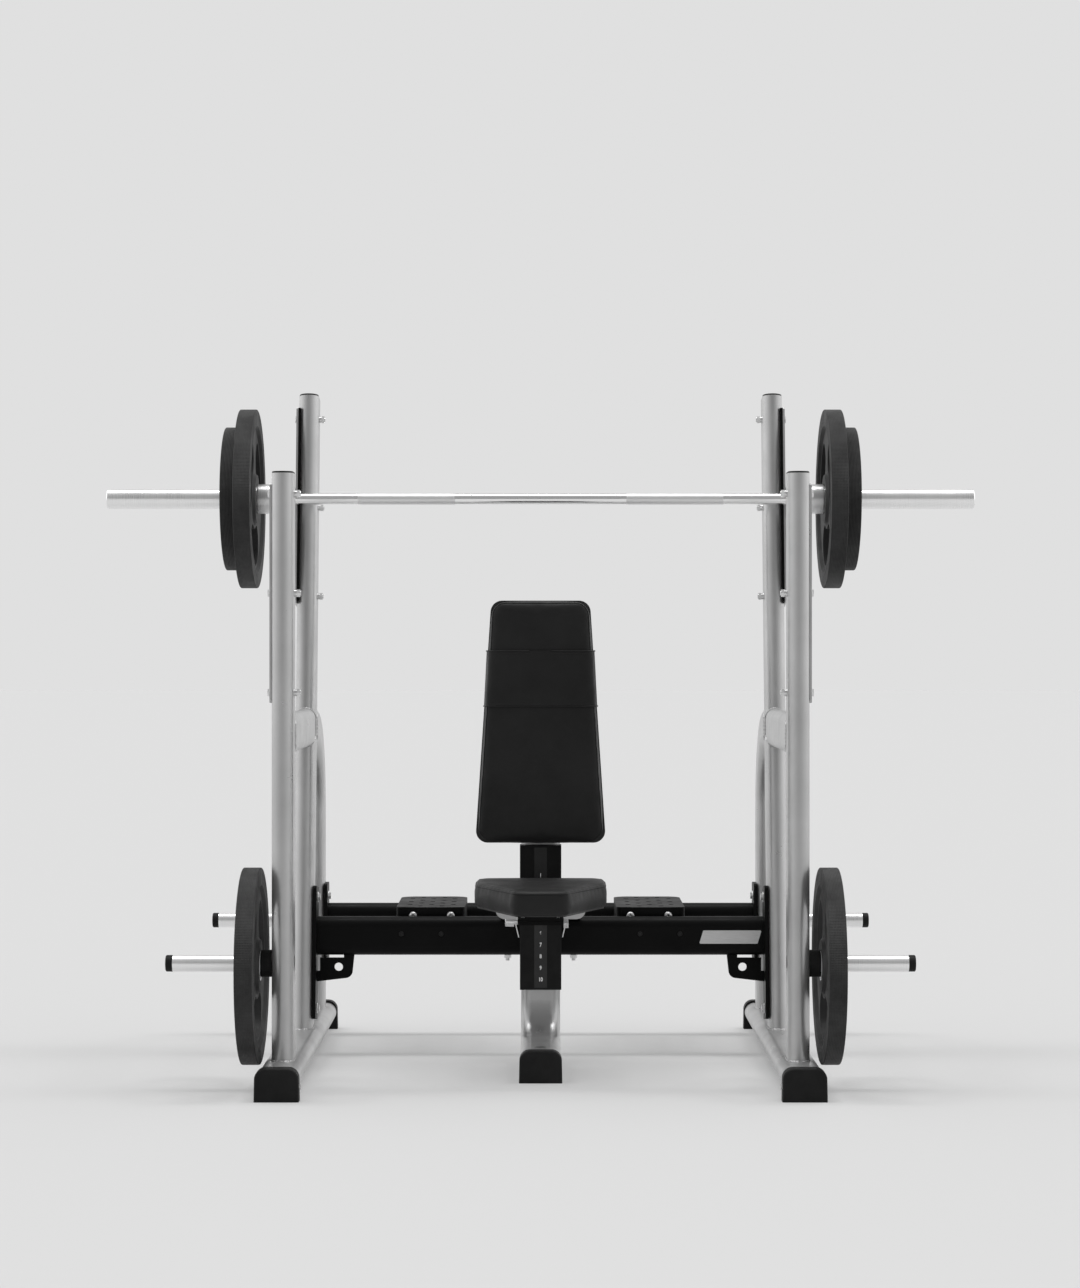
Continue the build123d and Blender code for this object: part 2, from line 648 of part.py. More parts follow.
with BuildPart() as back_pad_board:
    with BuildSketch(along(0, BOARD_FRONT, 0)):
        add(pad_outline(BOARD_GROW))
    extrude(amount=BOARD_THICK)
    chamfer(back_pad_board.faces().sort_by(Axis.Y)[-1].edges(), length=3)
save(back_pad_board, "back_pad_board")

BAND_GROW = BOARD_GROW + 0.3
BAND_OPEN_HALF = 60

with BuildPart() as back_pad_band:
    with BuildSketch(along(0, PAD_FRONT - RUNNING_GAP - BAND_THICK, 0)):
        add(pad_outline(BAND_GROW + BAND_THICK))
    extrude(amount=BOARD_BACK - PAD_FRONT + 2 * RUNNING_GAP + 2 * BAND_THICK)
    with BuildSketch(along(0, PAD_FRONT - RUNNING_GAP, 0)):
        add(pad_outline(BAND_GROW))
    extrude(amount=BOARD_BACK - PAD_FRONT + 2 * RUNNING_GAP, mode=Mode.SUBTRACT)
    with Locations((0, BOARD_BACK, sum(BAND_Z) / 2)):
        Box(2 * BAND_OPEN_HALF, 20, 2 * PAD_Z[1], mode=Mode.SUBTRACT)
    split(bisect_by=Plane.XY.offset(BAND_Z[0]), keep=Keep.TOP)
    split(bisect_by=Plane.XY.offset(BAND_Z[1]), keep=Keep.BOTTOM)
save(back_pad_band, "back_pad_band")

PAD_BRACKET_Z = (560, 1030)
PAD_BRACKET_HALF = 45

with BuildPart() as back_pad_bracket:
    bracket_deep = POST_Y - TUBE_THIN / 2 - BOARD_BACK
    with Locations((0, BOARD_BACK + bracket_deep / 2, sum(PAD_BRACKET_Z) / 2)):
        Box(2 * PAD_BRACKET_HALF, bracket_deep, PAD_BRACKET_Z[1] - PAD_BRACKET_Z[0])
    fillet(back_pad_bracket.edges().filter_by(Axis.Y), radius=10)
save(back_pad_bracket, "back_pad_bracket")

# ---------------------------------------------------------------- racks

CRADLE_R = SHAFT_R + 0.35
HOOK_LIP = 10
HOOK_RISE = 12
HOOK_DEEP = 50
HOOK_LOW = 48

with BuildPart() as rear_racks:
    with BuildSketch(lean_plane(OUTER_X, REAR_RACK_Z)):
        with Locations(((RACK_DEPTH - TUBE_WIDE) / 2, 0)):
            RectangleRounded(RACK_DEPTH, RACK_LENGTH, 6)
    extrude(amount=RACK_PLATE)
    for z in REAR_BOLT_Z:
        x_hole(RACK_BOLT_R + BOLT_GAP, OUTER_X - 1, OUTER_X + RACK_PLATE + 1, rear_upright_y(z), z)
    with BuildSketch(across(OUTER_X + RACK_PLATE, BAR_Y, BAR_Z)):
        with BuildLine():
            Polyline(
                (-CRADLE_R, 0),
                (-CRADLE_R, HOOK_RISE),
                (-CRADLE_R - HOOK_LIP, HOOK_RISE),
                (-CRADLE_R - HOOK_LIP, -CRADLE_R - 6),
                (HOOK_DEEP - 30, -HOOK_LOW),
                (HOOK_DEEP, -HOOK_LOW),
                (HOOK_DEEP, 2.5 * HOOK_RISE),
                (CRADLE_R, 2.5 * HOOK_RISE),
                (CRADLE_R, 0),
            )
            ThreePointArc((CRADLE_R, 0), (0, -CRADLE_R), (-CRADLE_R, 0))
        make_face()
    extrude(amount=HOOK_WIDE)
    mirror(about=Plane.YZ)
save(rear_racks, "rear_racks")

CATCH_R = 16
CATCH_Y = FRONT_UPRIGHT_Y + TUBE_WIDE / 2 + 4 + CATCH_R
CATCH_Z = (970, 1240)
CATCH_LIP = 14
FRONT_RACK_FRONT = FRONT_UPRIGHT_Y - 27

with BuildPart() as front_racks:
    with BuildSketch(across(OUTER_X, 0, 0)):
        with Locations(((FRONT_RACK_FRONT + CATCH_Y - CATCH_R) / 2, FRONT_RACK_Z)):
            RectangleRounded(CATCH_Y - CATCH_R - FRONT_RACK_FRONT, RACK_LENGTH, 6)
        for z in CATCH_Z:
            with Locations((CATCH_Y - 2, z - 8)):
                RectangleRounded(2 * CATCH_R + 2 * CATCH_LIP + 4, 68, 8)
        for z in CATCH_Z:
            with Locations((CATCH_Y, z)):
                Circle(CATCH_R, mode=Mode.SUBTRACT)
            with Locations((CATCH_Y, z + CATCH_R + 10)):
                Rectangle(2 * CATCH_R, 2 * CATCH_R + 20, mode=Mode.SUBTRACT)
    extrude(amount=RACK_PLATE)
    for z in FRONT_BOLT_Z:
        x_hole(RACK_BOLT_R + BOLT_GAP, OUTER_X - 1, OUTER_X + RACK_PLATE + 1, FRONT_UPRIGHT_Y, z)
    mirror(about=Plane.YZ)
save(front_racks, "front_racks")

with BuildPart() as rack_liners:
    liner_bottom = REAR_RACK_Z - RACK_LENGTH / 2 * cos(radians(LEAN)) + 2
    with BuildSketch(rear_section(liner_bottom)):
        with Locations((TUBE_THIN / 2 - LINER_WIDE / 2, (LINER_DEPTH - TUBE_WIDE) / 2)):
            Rectangle(LINER_WIDE, LINER_DEPTH)
        flat_oval(rotation=90, mode=Mode.SUBTRACT)
    extrude(amount=RACK_LENGTH - 4)
    mirror(about=Plane.YZ)
save(rack_liners, "rack_liners")

NUT_R = 9.8
NUT_HIGH = 7
SPACER_R = 8
SPACER_LONG = 6

rack_bolt_places = [(FRONT_UPRIGHT_Y, z) for z in FRONT_BOLT_Z]
rack_bolt_places += [(rear_upright_y(z), z) for z in REAR_BOLT_Z]

with BuildPart() as rack_bolts:
    for y, z in rack_bolt_places:
        with BuildSketch(across(OUTER_X + RACK_PLATE, y, z)):
            RegularPolygon(HEX_R, 6)
        extrude(amount=HEX_HIGH - 1)
        with BuildSketch(across(OUTER_X + RACK_PLATE, y, z)):
            Circle(RACK_BOLT_R)
        extrude(amount=-(RACK_PLATE + TUBE_THIN + SPACER_LONG + NUT_HIGH + 2))
    mirror(about=Plane.YZ)
save(rack_bolts, "rack_bolts")

with BuildPart() as rack_nuts:
    for y, z in rack_bolt_places:
        with BuildSketch(across(INNER_X, y, z)):
            Circle(SPACER_R)
        extrude(amount=-SPACER_LONG)
        with BuildSketch(across(INNER_X - SPACER_LONG, y, z)):
            RegularPolygon(NUT_R, 6)
        extrude(amount=-NUT_HIGH)
        x_hole(RACK_BOLT_R + BUSH_GAP, INNER_X - SPACER_LONG - NUT_HIGH - 1, INNER_X + 1, y, z)
    mirror(about=Plane.YZ)
save(rack_nuts, "rack_nuts")

# ---------------------------------------------------------------- storage horns

horn_places = ((FRONT_UPRIGHT_Y, FRONT_HORN_Z), (REAR_LEG_Y, REAR_HORN_Z))
bumper_seats = (HORN_R, HORN_ROOT_R)

with BuildPart() as storage_horns:
    for y, z in horn_places:
        with BuildSketch(across(OUTER_X, y, z)):
            Circle(HORN_R)
            Circle(HORN_R - HORN_WALL, mode=Mode.SUBTRACT)
        extrude(amount=HORN_END - HORN_CAP - OUTER_X)
    with BuildSketch(across(OUTER_X, REAR_LEG_Y, REAR_HORN_Z)):
        Circle(HORN_ROOT_R)
        Circle(HORN_R - HORN_WALL, mode=Mode.SUBTRACT)
    extrude(amount=BUMPER_LONG + 0.5)
    mirror(about=Plane.YZ)
save(storage_horns, "storage_horns")

with BuildPart() as horn_caps:
    for y, z in horn_places:
        with BuildSketch(across(HORN_END - HORN_CAP, y, z)):
            Circle(HORN_R)
        extrude(amount=HORN_CAP)
        with BuildSketch(across(HORN_END - HORN_CAP, y, z)):
            Circle(HORN_R - HORN_WALL - PLUG_GAP)
        extrude(amount=-20)
    chamfer(horn_caps.faces().sort_by(Axis.X)[-2:].edges(), length=2)
    mirror(about=Plane.YZ)
save(horn_caps, "horn_caps")

with BuildPart() as horn_bumpers:
    for (y, z), seat_r in zip(horn_places, bumper_seats):
        with BuildSketch(across(OUTER_X + 0.5, y, z)):
            Circle(BUMPER_R)
            Circle(seat_r + 0.1, mode=Mode.SUBTRACT)
        extrude(amount=BUMPER_LONG)
    mirror(about=Plane.YZ)
save(horn_bumpers, "horn_bumpers")

# ---------------------------------------------------------------- seat carriage and its pull pin

CARRIAGE_HALF = HOUSING_HALF + RUNNING_GAP + GLIDE + CARRIAGE_WALL
CARRIAGE_INNER = CARRIAGE_HALF - CARRIAGE_WALL
CARRIAGE_FRONT = HOUSING_FRONT - RUNNING_GAP - GLIDE - CARRIAGE_WALL
CARRIAGE_BACK = POST_BACK + 8
LIP_INNER = 30
LIP_FLANGE = 3
LIP_RISE = 7

with BuildPart() as seat_carriage:
    with BuildSketch(Plane.XY.offset(CARRIAGE_Z[0])):
        with Locations((0, (CARRIAGE_FRONT + CARRIAGE_BACK) / 2)):
            Rectangle(2 * CARRIAGE_HALF, CARRIAGE_BACK - CARRIAGE_FRONT)
            Rectangle(
                2 * CARRIAGE_INNER, CARRIAGE_BACK - CARRIAGE_FRONT - 2 * CARRIAGE_WALL, mode=Mode.SUBTRACT
            )
        with Locations((0, CARRIAGE_BACK)):
            Rectangle(2 * LIP_INNER, 4 * CARRIAGE_WALL, mode=Mode.SUBTRACT)
    extrude(amount=CARRIAGE_Z[1] - CARRIAGE_Z[0])
    with Locations((0, CARRIAGE_FRONT - LIP_FLANGE / 2, CARRIAGE_Z[0] + LIP_RISE)):
        Box(2 * CARRIAGE_HALF, LIP_FLANGE, 4)
    x_hole(PIN_HOLE_R, -CARRIAGE_HALF - 1, -CARRIAGE_INNER + 1, PIN_Y, PIN_Z)
save(seat_carriage, "seat_carriage")

SEAT_PLATE_TOP = SEAT_TOP - SEAT_PAD_THICK - SEAT_BOARD
SEAT_PLATE_BOTTOM = SEAT_PLATE_TOP - SEAT_PLATE
SEAT_PLATE_HALF = 55
WING_Y = CARRIAGE_FRONT - LIP_FLANGE - 6
WING_THICK = 5
WING_NOTCH = (58, 10)
RIB_X = 43
RIB_WIDE = 8

with BuildPart() as seat_bracket:
    with BuildSketch(Plane.XY.offset(SEAT_PLATE_BOTTOM)):
        with BuildLine():
            Polyline(
                (-SEAT_PLATE_HALF + 15, SEAT_FRONT + 90),
                (SEAT_PLATE_HALF - 15, SEAT_FRONT + 90),
                (SEAT_PLATE_HALF, SEAT_WIDEST_Y),
                (SEAT_PLATE_HALF, CARRIAGE_FRONT),
                (-SEAT_PLATE_HALF, CARRIAGE_FRONT),
                (-SEAT_PLATE_HALF, SEAT_WIDEST_Y),
                close=True,
            )
        make_face()
    extrude(amount=SEAT_PLATE)
    with BuildSketch(along(0, WING_Y - WING_THICK, 0)) as wing:
        with BuildLine():
            Polyline(
                (-WING_HALF, -SEAT_PLATE_TOP),
                (WING_HALF, -SEAT_PLATE_TOP),
                (WING_HALF, -WING_BOTTOM),
                (-WING_HALF, -WING_BOTTOM),
                close=True,
            )
        make_face()
        fillet(wing.vertices().group_by(Axis.Y)[-1], radius=24)
        with Locations((0, -WING_BOTTOM)):
            Rectangle(2 * WING_NOTCH[0], 2 * WING_NOTCH[1], mode=Mode.SUBTRACT)
    extrude(amount=WING_THICK)
    for side in (-1, 1):
        with BuildSketch(across(side * RIB_X - RIB_WIDE / 2, 0, 0)):
            with BuildLine():
                Polyline(
                    (CARRIAGE_FRONT, SEAT_PLATE_BOTTOM),
                    (SEAT_WIDEST_Y, SEAT_PLATE_BOTTOM),
                    (CARRIAGE_FRONT, WING_BOTTOM + 2),
                    close=True,
                )
            make_face()
        extrude(amount=RIB_WIDE)
save(seat_bracket, "seat_bracket")


def seat_outline(inset):
    """Plan of the seat: a narrow nose that widens to straight sides and round rear corners."""
    with BuildSketch() as outline:
        with BuildLine():
            Polyline(
                (-SEAT_NOSE_HALF + inset, SEAT_FRONT + inset),
                (SEAT_NOSE_HALF - inset, SEAT_FRONT + inset),
                (SEAT_HALF - inset, SEAT_WIDEST_Y + inset / 2),
                (SEAT_HALF - inset, SEAT_REAR - inset),
                (-SEAT_HALF + inset, SEAT_REAR - inset),
                (-SEAT_HALF + inset, SEAT_WIDEST_Y + inset / 2),
                close=True,
            )
        make_face()
        fillet(outline.vertices().group_by(Axis.Y)[-1], radius=30)
        fillet(outline.vertices().group_by(Axis.Y)[1], radius=60)
        fillet(outline.vertices().group_by(Axis.Y)[0], radius=22)
    return outline.sketch


with BuildPart() as seat_board:
    with BuildSketch(Plane.XY.offset(SEAT_PLATE_TOP)):
        add(seat_outline(9))
    extrude(amount=SEAT_BOARD)
save(seat_board, "seat_board")

with BuildPart() as seat_pad:
    with BuildSketch(Plane.XY.offset(SEAT_PLATE_TOP + SEAT_BOARD)):
        add(seat_outline(0))
    extrude(amount=SEAT_PAD_THICK)
    fillet(seat_pad.faces().sort_by(Axis.Z)[-1].edges(), radius=10)
save(seat_pad, "seat_pad")

GLIDE_HIGH = 24
GLIDE_CLEAR = 3
REAR_GLIDE = 5

with BuildPart() as carriage_glides:
    for z in (CARRIAGE_Z[0] + GLIDE_CLEAR + GLIDE_HIGH / 2 + 26, CARRIAGE_Z[1] - GLIDE_CLEAR - GLIDE_HIGH / 2):
        with Locations((CARRIAGE_INNER - GLIDE / 2, (CARRIAGE_FRONT + CARRIAGE_BACK) / 2, z)):
            Box(GLIDE, 50, GLIDE_HIGH)
        with Locations((32, CARRIAGE_FRONT + CARRIAGE_WALL + GLIDE / 2, z)):
            Box(24, GLIDE, GLIDE_HIGH)
        with Locations((36, CARRIAGE_BACK - CARRIAGE_WALL - REAR_GLIDE / 2, z)):
            Box(10, REAR_GLIDE, GLIDE_HIGH)
    mirror(about=Plane.YZ)
save(carriage_glides, "carriage_glides")

GUIDE_START = PIN_Y + 16
GUIDE_DEEP = 30
GUIDE_THICK = 2.5
GUIDE_TOP = 356
GUIDE_KNEE = 333
GUIDE_LOW = 303
SIDE_NUT_R = 15
SIDE_NUT_LONG = 12

with BuildPart() as carriage_guides:
    with BuildSketch(along(0, GUIDE_START, 0)):
        with BuildLine():
            Polyline(
                (CARRIAGE_HALF, -GUIDE_TOP),
                (CARRIAGE_HALF + GUIDE_THICK, -GUIDE_TOP),
                (CARRIAGE_HALF + GUIDE_THICK + 3.5, -GUIDE_KNEE),
                (CARRIAGE_HALF - 1.2, -GUIDE_LOW),
                (CARRIAGE_HALF - 1.2 - GUIDE_THICK, -GUIDE_LOW),
                (CARRIAGE_HALF + 3.5, -GUIDE_KNEE),
                (CARRIAGE_HALF, -GUIDE_KNEE - 12),
                close=True,
            )
        make_face()
    extrude(amount=GUIDE_DEEP)
    mirror(about=Plane.YZ)
    with BuildSketch(across(CARRIAGE_HALF, PIN_Y + 2, PIN_Z - 3)):
        RegularPolygon(SIDE_NUT_R, 6)
    extrude(amount=SIDE_NUT_LONG)
save(carriage_guides, "carriage_guides")

BARREL_R = 8.4
BARREL_END = CARRIAGE_HALF + 20
BARREL_BORE = 6.6
BARREL_LID = 2
PIN_TIP = HOUSING_HALF + RUNNING_GAP
SHOULDER_R = 6.2
SHOULDER = (CARRIAGE_HALF + 8.5, CARRIAGE_HALF + 10.5)
KNOB_R = 13
KNOB_START = CARRIAGE_HALF + 9
KNOB_END = KNOB_START + 22
KNOB_FACE = 2.5
KNOB_BORE = 9
SPRING_R = 5.85
SPRING_WIRE = 0.4
SPRING_PITCH = 1.6

with BuildPart() as pin_barrel:
    with BuildSketch(across(-CARRIAGE_HALF, PIN_Y, PIN_Z)):
        Circle(BARREL_R)
        Circle(BARREL_BORE, mode=Mode.SUBTRACT)
    extrude(amount=CARRIAGE_HALF + BARREL_LID - BARREL_END)
    with BuildSketch(across(BARREL_LID - BARREL_END, PIN_Y, PIN_Z)):
        Circle(BARREL_R)
        Circle(PIN_HOLE_R, mode=Mode.SUBTRACT)
    extrude(amount=-BARREL_LID)
save(pin_barrel, "pin_barrel")

with BuildPart() as seat_pin:
    with BuildSketch(across(-PIN_TIP, PIN_Y, PIN_Z)):
        Circle(PIN_R)
    extrude(amount=PIN_TIP + KNOB_FACE - KNOB_END)
    with BuildSketch(across(-SHOULDER[0], PIN_Y, PIN_Z)):
        Circle(SHOULDER_R)
    extrude(amount=SHOULDER[0] - SHOULDER[1])
save(seat_pin, "seat_pin")

with BuildPart() as pin_knob:
    with BuildSketch(across(-KNOB_START, PIN_Y, PIN_Z)):
        Circle(KNOB_R)
    extrude(amount=KNOB_START - KNOB_END)
    fillet(pin_knob.faces().sort_by(Axis.X)[0].edges(), radius=3)
    x_hole(KNOB_BORE, 1 - KNOB_START, KNOB_FACE - KNOB_END, PIN_Y, PIN_Z)
save(pin_knob, "pin_knob")

spring_start = -SHOULDER[1] - SPRING_WIRE - 0.1
spring_long = BARREL_END - BARREL_LID - SHOULDER[1] - 2 * SPRING_WIRE - 0.2
coil = Helix(SPRING_PITCH, spring_long, SPRING_R, center=(spring_start, PIN_Y, PIN_Z), direction=(-1, 0, 0))

with BuildPart() as pin_spring:
    with BuildSketch(Plane(origin=coil @ 0, z_dir=coil % 0)):
        Circle(SPRING_WIRE)
    sweep(path=coil, is_frenet=True)
save(pin_spring, "pin_spring")

# ---------------------------------------------------------------- barbell

bar_axis = Axis((0, BAR_Y, BAR_Z), (1, 0, 0))
bar_plane = Plane(origin=(0, BAR_Y, BAR_Z), x_dir=(1, 0, 0), z_dir=(0, -1, 0))
RING_X = 1073
RING_LONG = 3
RING_R = 15.4
MARK_WIDE = 3
MARK_DEEP = 0.5
BAR_TIP = BAR_HALF - END_CAP - 7

with BuildPart() as bar_shaft:
    with BuildSketch(bar_plane):
        with Locations((SHAFT_HALF / 2, SHAFT_R / 2)):
            Rectangle(SHAFT_HALF, SHAFT_R)
        with Locations((BAR_TIP / 2, JOURNAL_R / 2)):
            Rectangle(BAR_TIP, JOURNAL_R)
        with Locations((RING_X + RING_LONG / 2, RING_R / 2)):
            Rectangle(RING_LONG, RING_R)
        with Locations((MARK_X, SHAFT_R)):
            Rectangle(MARK_WIDE, 2 * MARK_DEEP, mode=Mode.SUBTRACT)
    revolve(axis=bar_axis)
    mirror(about=Plane.YZ)
save(bar_shaft, "bar_shaft")

with BuildPart() as sleeve:
    with BuildSketch(across(SHAFT_HALF + DISC_GAP, BAR_Y, BAR_Z)):
        Circle(COLLAR_R)
    extrude(amount=COLLAR_END - SHAFT_HALF - DISC_GAP)
    chamfer(sleeve.faces().sort_by(Axis.X)[0].edges(), length=1.5)
    chamfer(sleeve.faces().sort_by(Axis.X)[-1].edges(), length=1.5)
    with BuildSketch(across(COLLAR_END, BAR_Y, BAR_Z)):
        Circle(SLEEVE_R)
    extrude(amount=BAR_HALF - END_CAP - COLLAR_END)
    x_hole(BUSH_R + BUSH_GAP, SHAFT_HALF - 1, BAR_HALF, BAR_Y, BAR_Z)
save_pair(sleeve, "sleeve")

with BuildPart() as sleeve_bushes:
    for start, end in BUSH_SPANS:
        with BuildSketch(across(start, BAR_Y, BAR_Z)):
            Circle(BUSH_R)
            Circle(JOURNAL_R + BUSH_GAP, mode=Mode.SUBTRACT)
        extrude(amount=end - start)
save_pair(sleeve_bushes, "sleeve_bushes")

with BuildPart() as sleeve_cap:
    with BuildSketch(across(BAR_HALF - END_CAP, BAR_Y, BAR_Z)):
        Circle(SLEEVE_R)
    extrude(amount=END_CAP)
    chamfer(sleeve_cap.faces().sort_by(Axis.X)[-1].edges(), length=2.5)
    with BuildSketch(across(BAR_HALF - END_CAP, BAR_Y, BAR_Z)):
        Circle(BUSH_R - 0.1)
    extrude(amount=-6)
save_pair(sleeve_cap, "sleeve_cap")

# ---------------------------------------------------------------- discs

HUB_R = 60
RIM_SHARE = 0.82
WEB_DEEP = 8
WEB_SLOPE = 6
DISC_EDGE = 2.5
WINDOW_GAP = 9
WINDOW_ARC = 46
WINDOW_ANGLES = (30, 150, 270)


def disc(radius, thick, start, y, z):
    """A rubber disc with a raised hub and rim and three grip windows between them."""
    rim = RIM_SHARE * radius
    section = Plane(origin=(start, y, z), x_dir=(1, 0, 0), z_dir=(0, -1, 0))
    middle = (HUB_R + rim) / 2
    high = rim - HUB_R - 2 * (WEB_SLOPE + WINDOW_GAP)
    windows = [CenterArc((0, 0), middle, angle - WINDOW_ARC / 2, WINDOW_ARC) for angle in WINDOW_ANGLES]
    with BuildPart() as body:
        with BuildSketch(section) as half:
            with BuildLine():
                Polyline(
                    (1, BORE_R),
                    (1, HUB_R),
                    (WEB_DEEP, HUB_R + WEB_SLOPE),
                    (WEB_DEEP, rim - WEB_SLOPE),
                    (0, rim),
                    (0, radius),
                    (thick, radius),
                    (thick, rim),
                    (thick - WEB_DEEP, rim - WEB_SLOPE),
                    (thick - WEB_DEEP, HUB_R + WEB_SLOPE),
                    (thick - 1, HUB_R),
                    (thick - 1, BORE_R),
                    close=True,
                )
            make_face()
            fillet(half.vertices().group_by(Axis.Y)[-1], radius=DISC_EDGE)
        revolve(axis=Axis((0, y, z), (1, 0, 0)))
        with BuildSketch(across(start, y, z)):
            for window in windows:
                SlotArc(window, high)
        extrude(amount=thick, mode=Mode.SUBTRACT)
    return body


small_start = DISC_START + LARGE_THICK + DISC_GAP
stored_z = FRONT_HORN_Z - (BORE_R - HORN_R - DISC_GAP)
save_pair(disc(DISC_R, LARGE_THICK, DISC_START, BAR_Y, BAR_Z), "large_plate")
save_pair(disc(SMALL_R, SMALL_THICK, small_start, BAR_Y, BAR_Z), "small_plate")
save_pair(disc(DISC_R, STORED_THICK, STORED_START, FRONT_UPRIGHT_Y, stored_z), "storage_plate")
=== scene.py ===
"""Looks of the seated press bench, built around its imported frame. Metres, +Z up, the user faces -Y."""

import json
import math

import bmesh
import bpy
from mathutils import Matrix, Vector
from mathutils.bvhtree import BVHTree


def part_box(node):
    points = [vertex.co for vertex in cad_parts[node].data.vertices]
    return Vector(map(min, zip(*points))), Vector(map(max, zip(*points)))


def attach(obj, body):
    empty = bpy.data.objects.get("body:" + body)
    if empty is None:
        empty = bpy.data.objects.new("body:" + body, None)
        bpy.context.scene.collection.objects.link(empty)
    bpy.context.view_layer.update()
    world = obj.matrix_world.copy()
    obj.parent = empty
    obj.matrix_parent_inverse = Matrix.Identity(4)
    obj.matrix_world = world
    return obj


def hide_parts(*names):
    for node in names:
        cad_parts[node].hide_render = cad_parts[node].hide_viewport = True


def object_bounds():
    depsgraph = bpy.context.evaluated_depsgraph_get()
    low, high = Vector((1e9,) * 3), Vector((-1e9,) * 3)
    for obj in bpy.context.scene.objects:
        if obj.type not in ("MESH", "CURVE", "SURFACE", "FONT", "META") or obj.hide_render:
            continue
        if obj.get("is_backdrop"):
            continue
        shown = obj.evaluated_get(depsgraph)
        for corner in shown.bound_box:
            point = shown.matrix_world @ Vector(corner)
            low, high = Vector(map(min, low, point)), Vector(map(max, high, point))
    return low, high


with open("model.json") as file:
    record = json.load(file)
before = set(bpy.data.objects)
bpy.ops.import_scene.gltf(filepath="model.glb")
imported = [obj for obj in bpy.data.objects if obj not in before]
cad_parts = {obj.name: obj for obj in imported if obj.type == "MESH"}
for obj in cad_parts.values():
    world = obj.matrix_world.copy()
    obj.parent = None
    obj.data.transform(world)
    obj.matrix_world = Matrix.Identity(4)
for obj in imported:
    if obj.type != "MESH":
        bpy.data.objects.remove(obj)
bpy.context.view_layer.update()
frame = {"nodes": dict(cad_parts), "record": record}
record = frame["record"]
node_slot = {part["node"]: part["material_slot"] for part in record["subparts"]}
node_body = {node: body for body, nodes in record["behaviour"]["bodies"].items() for node in nodes}

# ---------------------------------------------------------------- materials

KNURL_START, KNURL_END = 0.216, 0.46
TREAD_DEPTH = 0.0015


class Nodes:
    """Short ways to add and join shader nodes of one material."""

    def __init__(self, name):
        self.material = bpy.data.materials.new(name)
        self.material.use_nodes = True
        self.tree = self.material.node_tree
        self.shader = self.tree.nodes["Principled BSDF"]
        self.place = self.add("ShaderNodeTexCoord").outputs["Object"]

    def add(self, kind, **settings):
        node = self.tree.nodes.new(kind)
        for key, value in settings.items():
            setattr(node, key, value)
        return node

    def join(self, start, end):
        self.tree.links.new(start, end)

    def stretched(self, scale):
        mapping = self.add("ShaderNodeMapping")
        mapping.inputs["Scale"].default_value = scale
        self.join(self.place, mapping.inputs["Vector"])
        return mapping.outputs["Vector"]

    def noise(self, scale, detail=3.0, vector=None, rough=0.55):
        node = self.add("ShaderNodeTexNoise")
        node.inputs["Scale"].default_value = scale
        node.inputs["Detail"].default_value = detail
        node.inputs["Roughness"].default_value = rough
        self.join(vector if vector is not None else self.place, node.inputs["Vector"])
        return node.outputs["Fac"]

    def cells(self, scale, feature="F1", vector=None):
        node = self.add("ShaderNodeTexVoronoi", feature=feature)
        node.inputs["Scale"].default_value = scale
        self.join(vector if vector is not None else self.place, node.inputs["Vector"])
        return node.outputs["Distance"]

    def remap(self, value, low, high, start=0.0, end=1.0):
        node = self.add("ShaderNodeMapRange")
        node.inputs["From Min"].default_value = start
        node.inputs["From Max"].default_value = end
        node.inputs["To Min"].default_value = low
        node.inputs["To Max"].default_value = high
        self.join(value, node.inputs["Value"])
        return node.outputs["Result"]

    def maths(self, operation, first, second=None):
        node = self.add("ShaderNodeMath", operation=operation)
        for socket, value in zip(node.inputs, (first, second)):
            if isinstance(value, (int, float)):
                socket.default_value = value
            elif value is not None:
                self.join(value, socket)
        return node.outputs["Value"]

    def blend(self, factor, first, second):
        """A colour between two colours, each a tuple or a socket."""
        node = self.add("ShaderNodeMix", data_type="RGBA")
        self.join(factor, node.inputs["Factor"])
        for socket, value in ((node.inputs[6], first), (node.inputs[7], second)):
            if isinstance(value, tuple):
                socket.default_value = (*value, 1.0)
            else:
                self.join(value, socket)
        return node.outputs[2]

    def bump(self, height, strength, distance, under=None):
        node = self.add("ShaderNodeBump")
        node.inputs["Strength"].default_value = strength
        node.inputs["Distance"].default_value = distance
        self.join(height, node.inputs["Height"])
        if under is not None:
            self.join(under, node.inputs["Normal"])
        return node.outputs["Normal"]

    def finish(self, colour, rough, normal, metallic=0.0, specular=0.5, coat=0.0):
        self.join(colour, self.shader.inputs["Base Color"])
        self.join(rough, self.shader.inputs["Roughness"])
        self.join(normal, self.shader.inputs["Normal"])
        self.shader.inputs["Metallic"].default_value = metallic
        self.shader.inputs["Specular IOR Level"].default_value = specular
        self.shader.inputs["Coat Weight"].default_value = coat
        return self.material


def grey(value, warm=0.0):
    return (value * (1 + warm), value, value * (1 - warm))


def coated(name, dark, light, metallic, rough, specular, grain=900.0, depth=0.00012):
    """Powder coat: fine orange peel, faint cloudiness and a little uneven gloss."""
    nodes = Nodes(name)
    fine = nodes.noise(grain, 4.0)
    cloud = nodes.noise(7.0, 4.0)
    colour = nodes.blend(nodes.remap(cloud, 0.0, 1.0, 0.3, 0.7), grey(dark), grey(light))
    speck = nodes.blend(nodes.remap(fine, 0.0, 0.25, 0.45, 0.8), colour, grey(light * 1.25))
    gloss = nodes.remap(nodes.noise(16.0, 5.0), rough - 0.06, rough + 0.08, 0.3, 0.7)
    return nodes.finish(speck, gloss, nodes.bump(fine, 0.35, depth), metallic, specular)


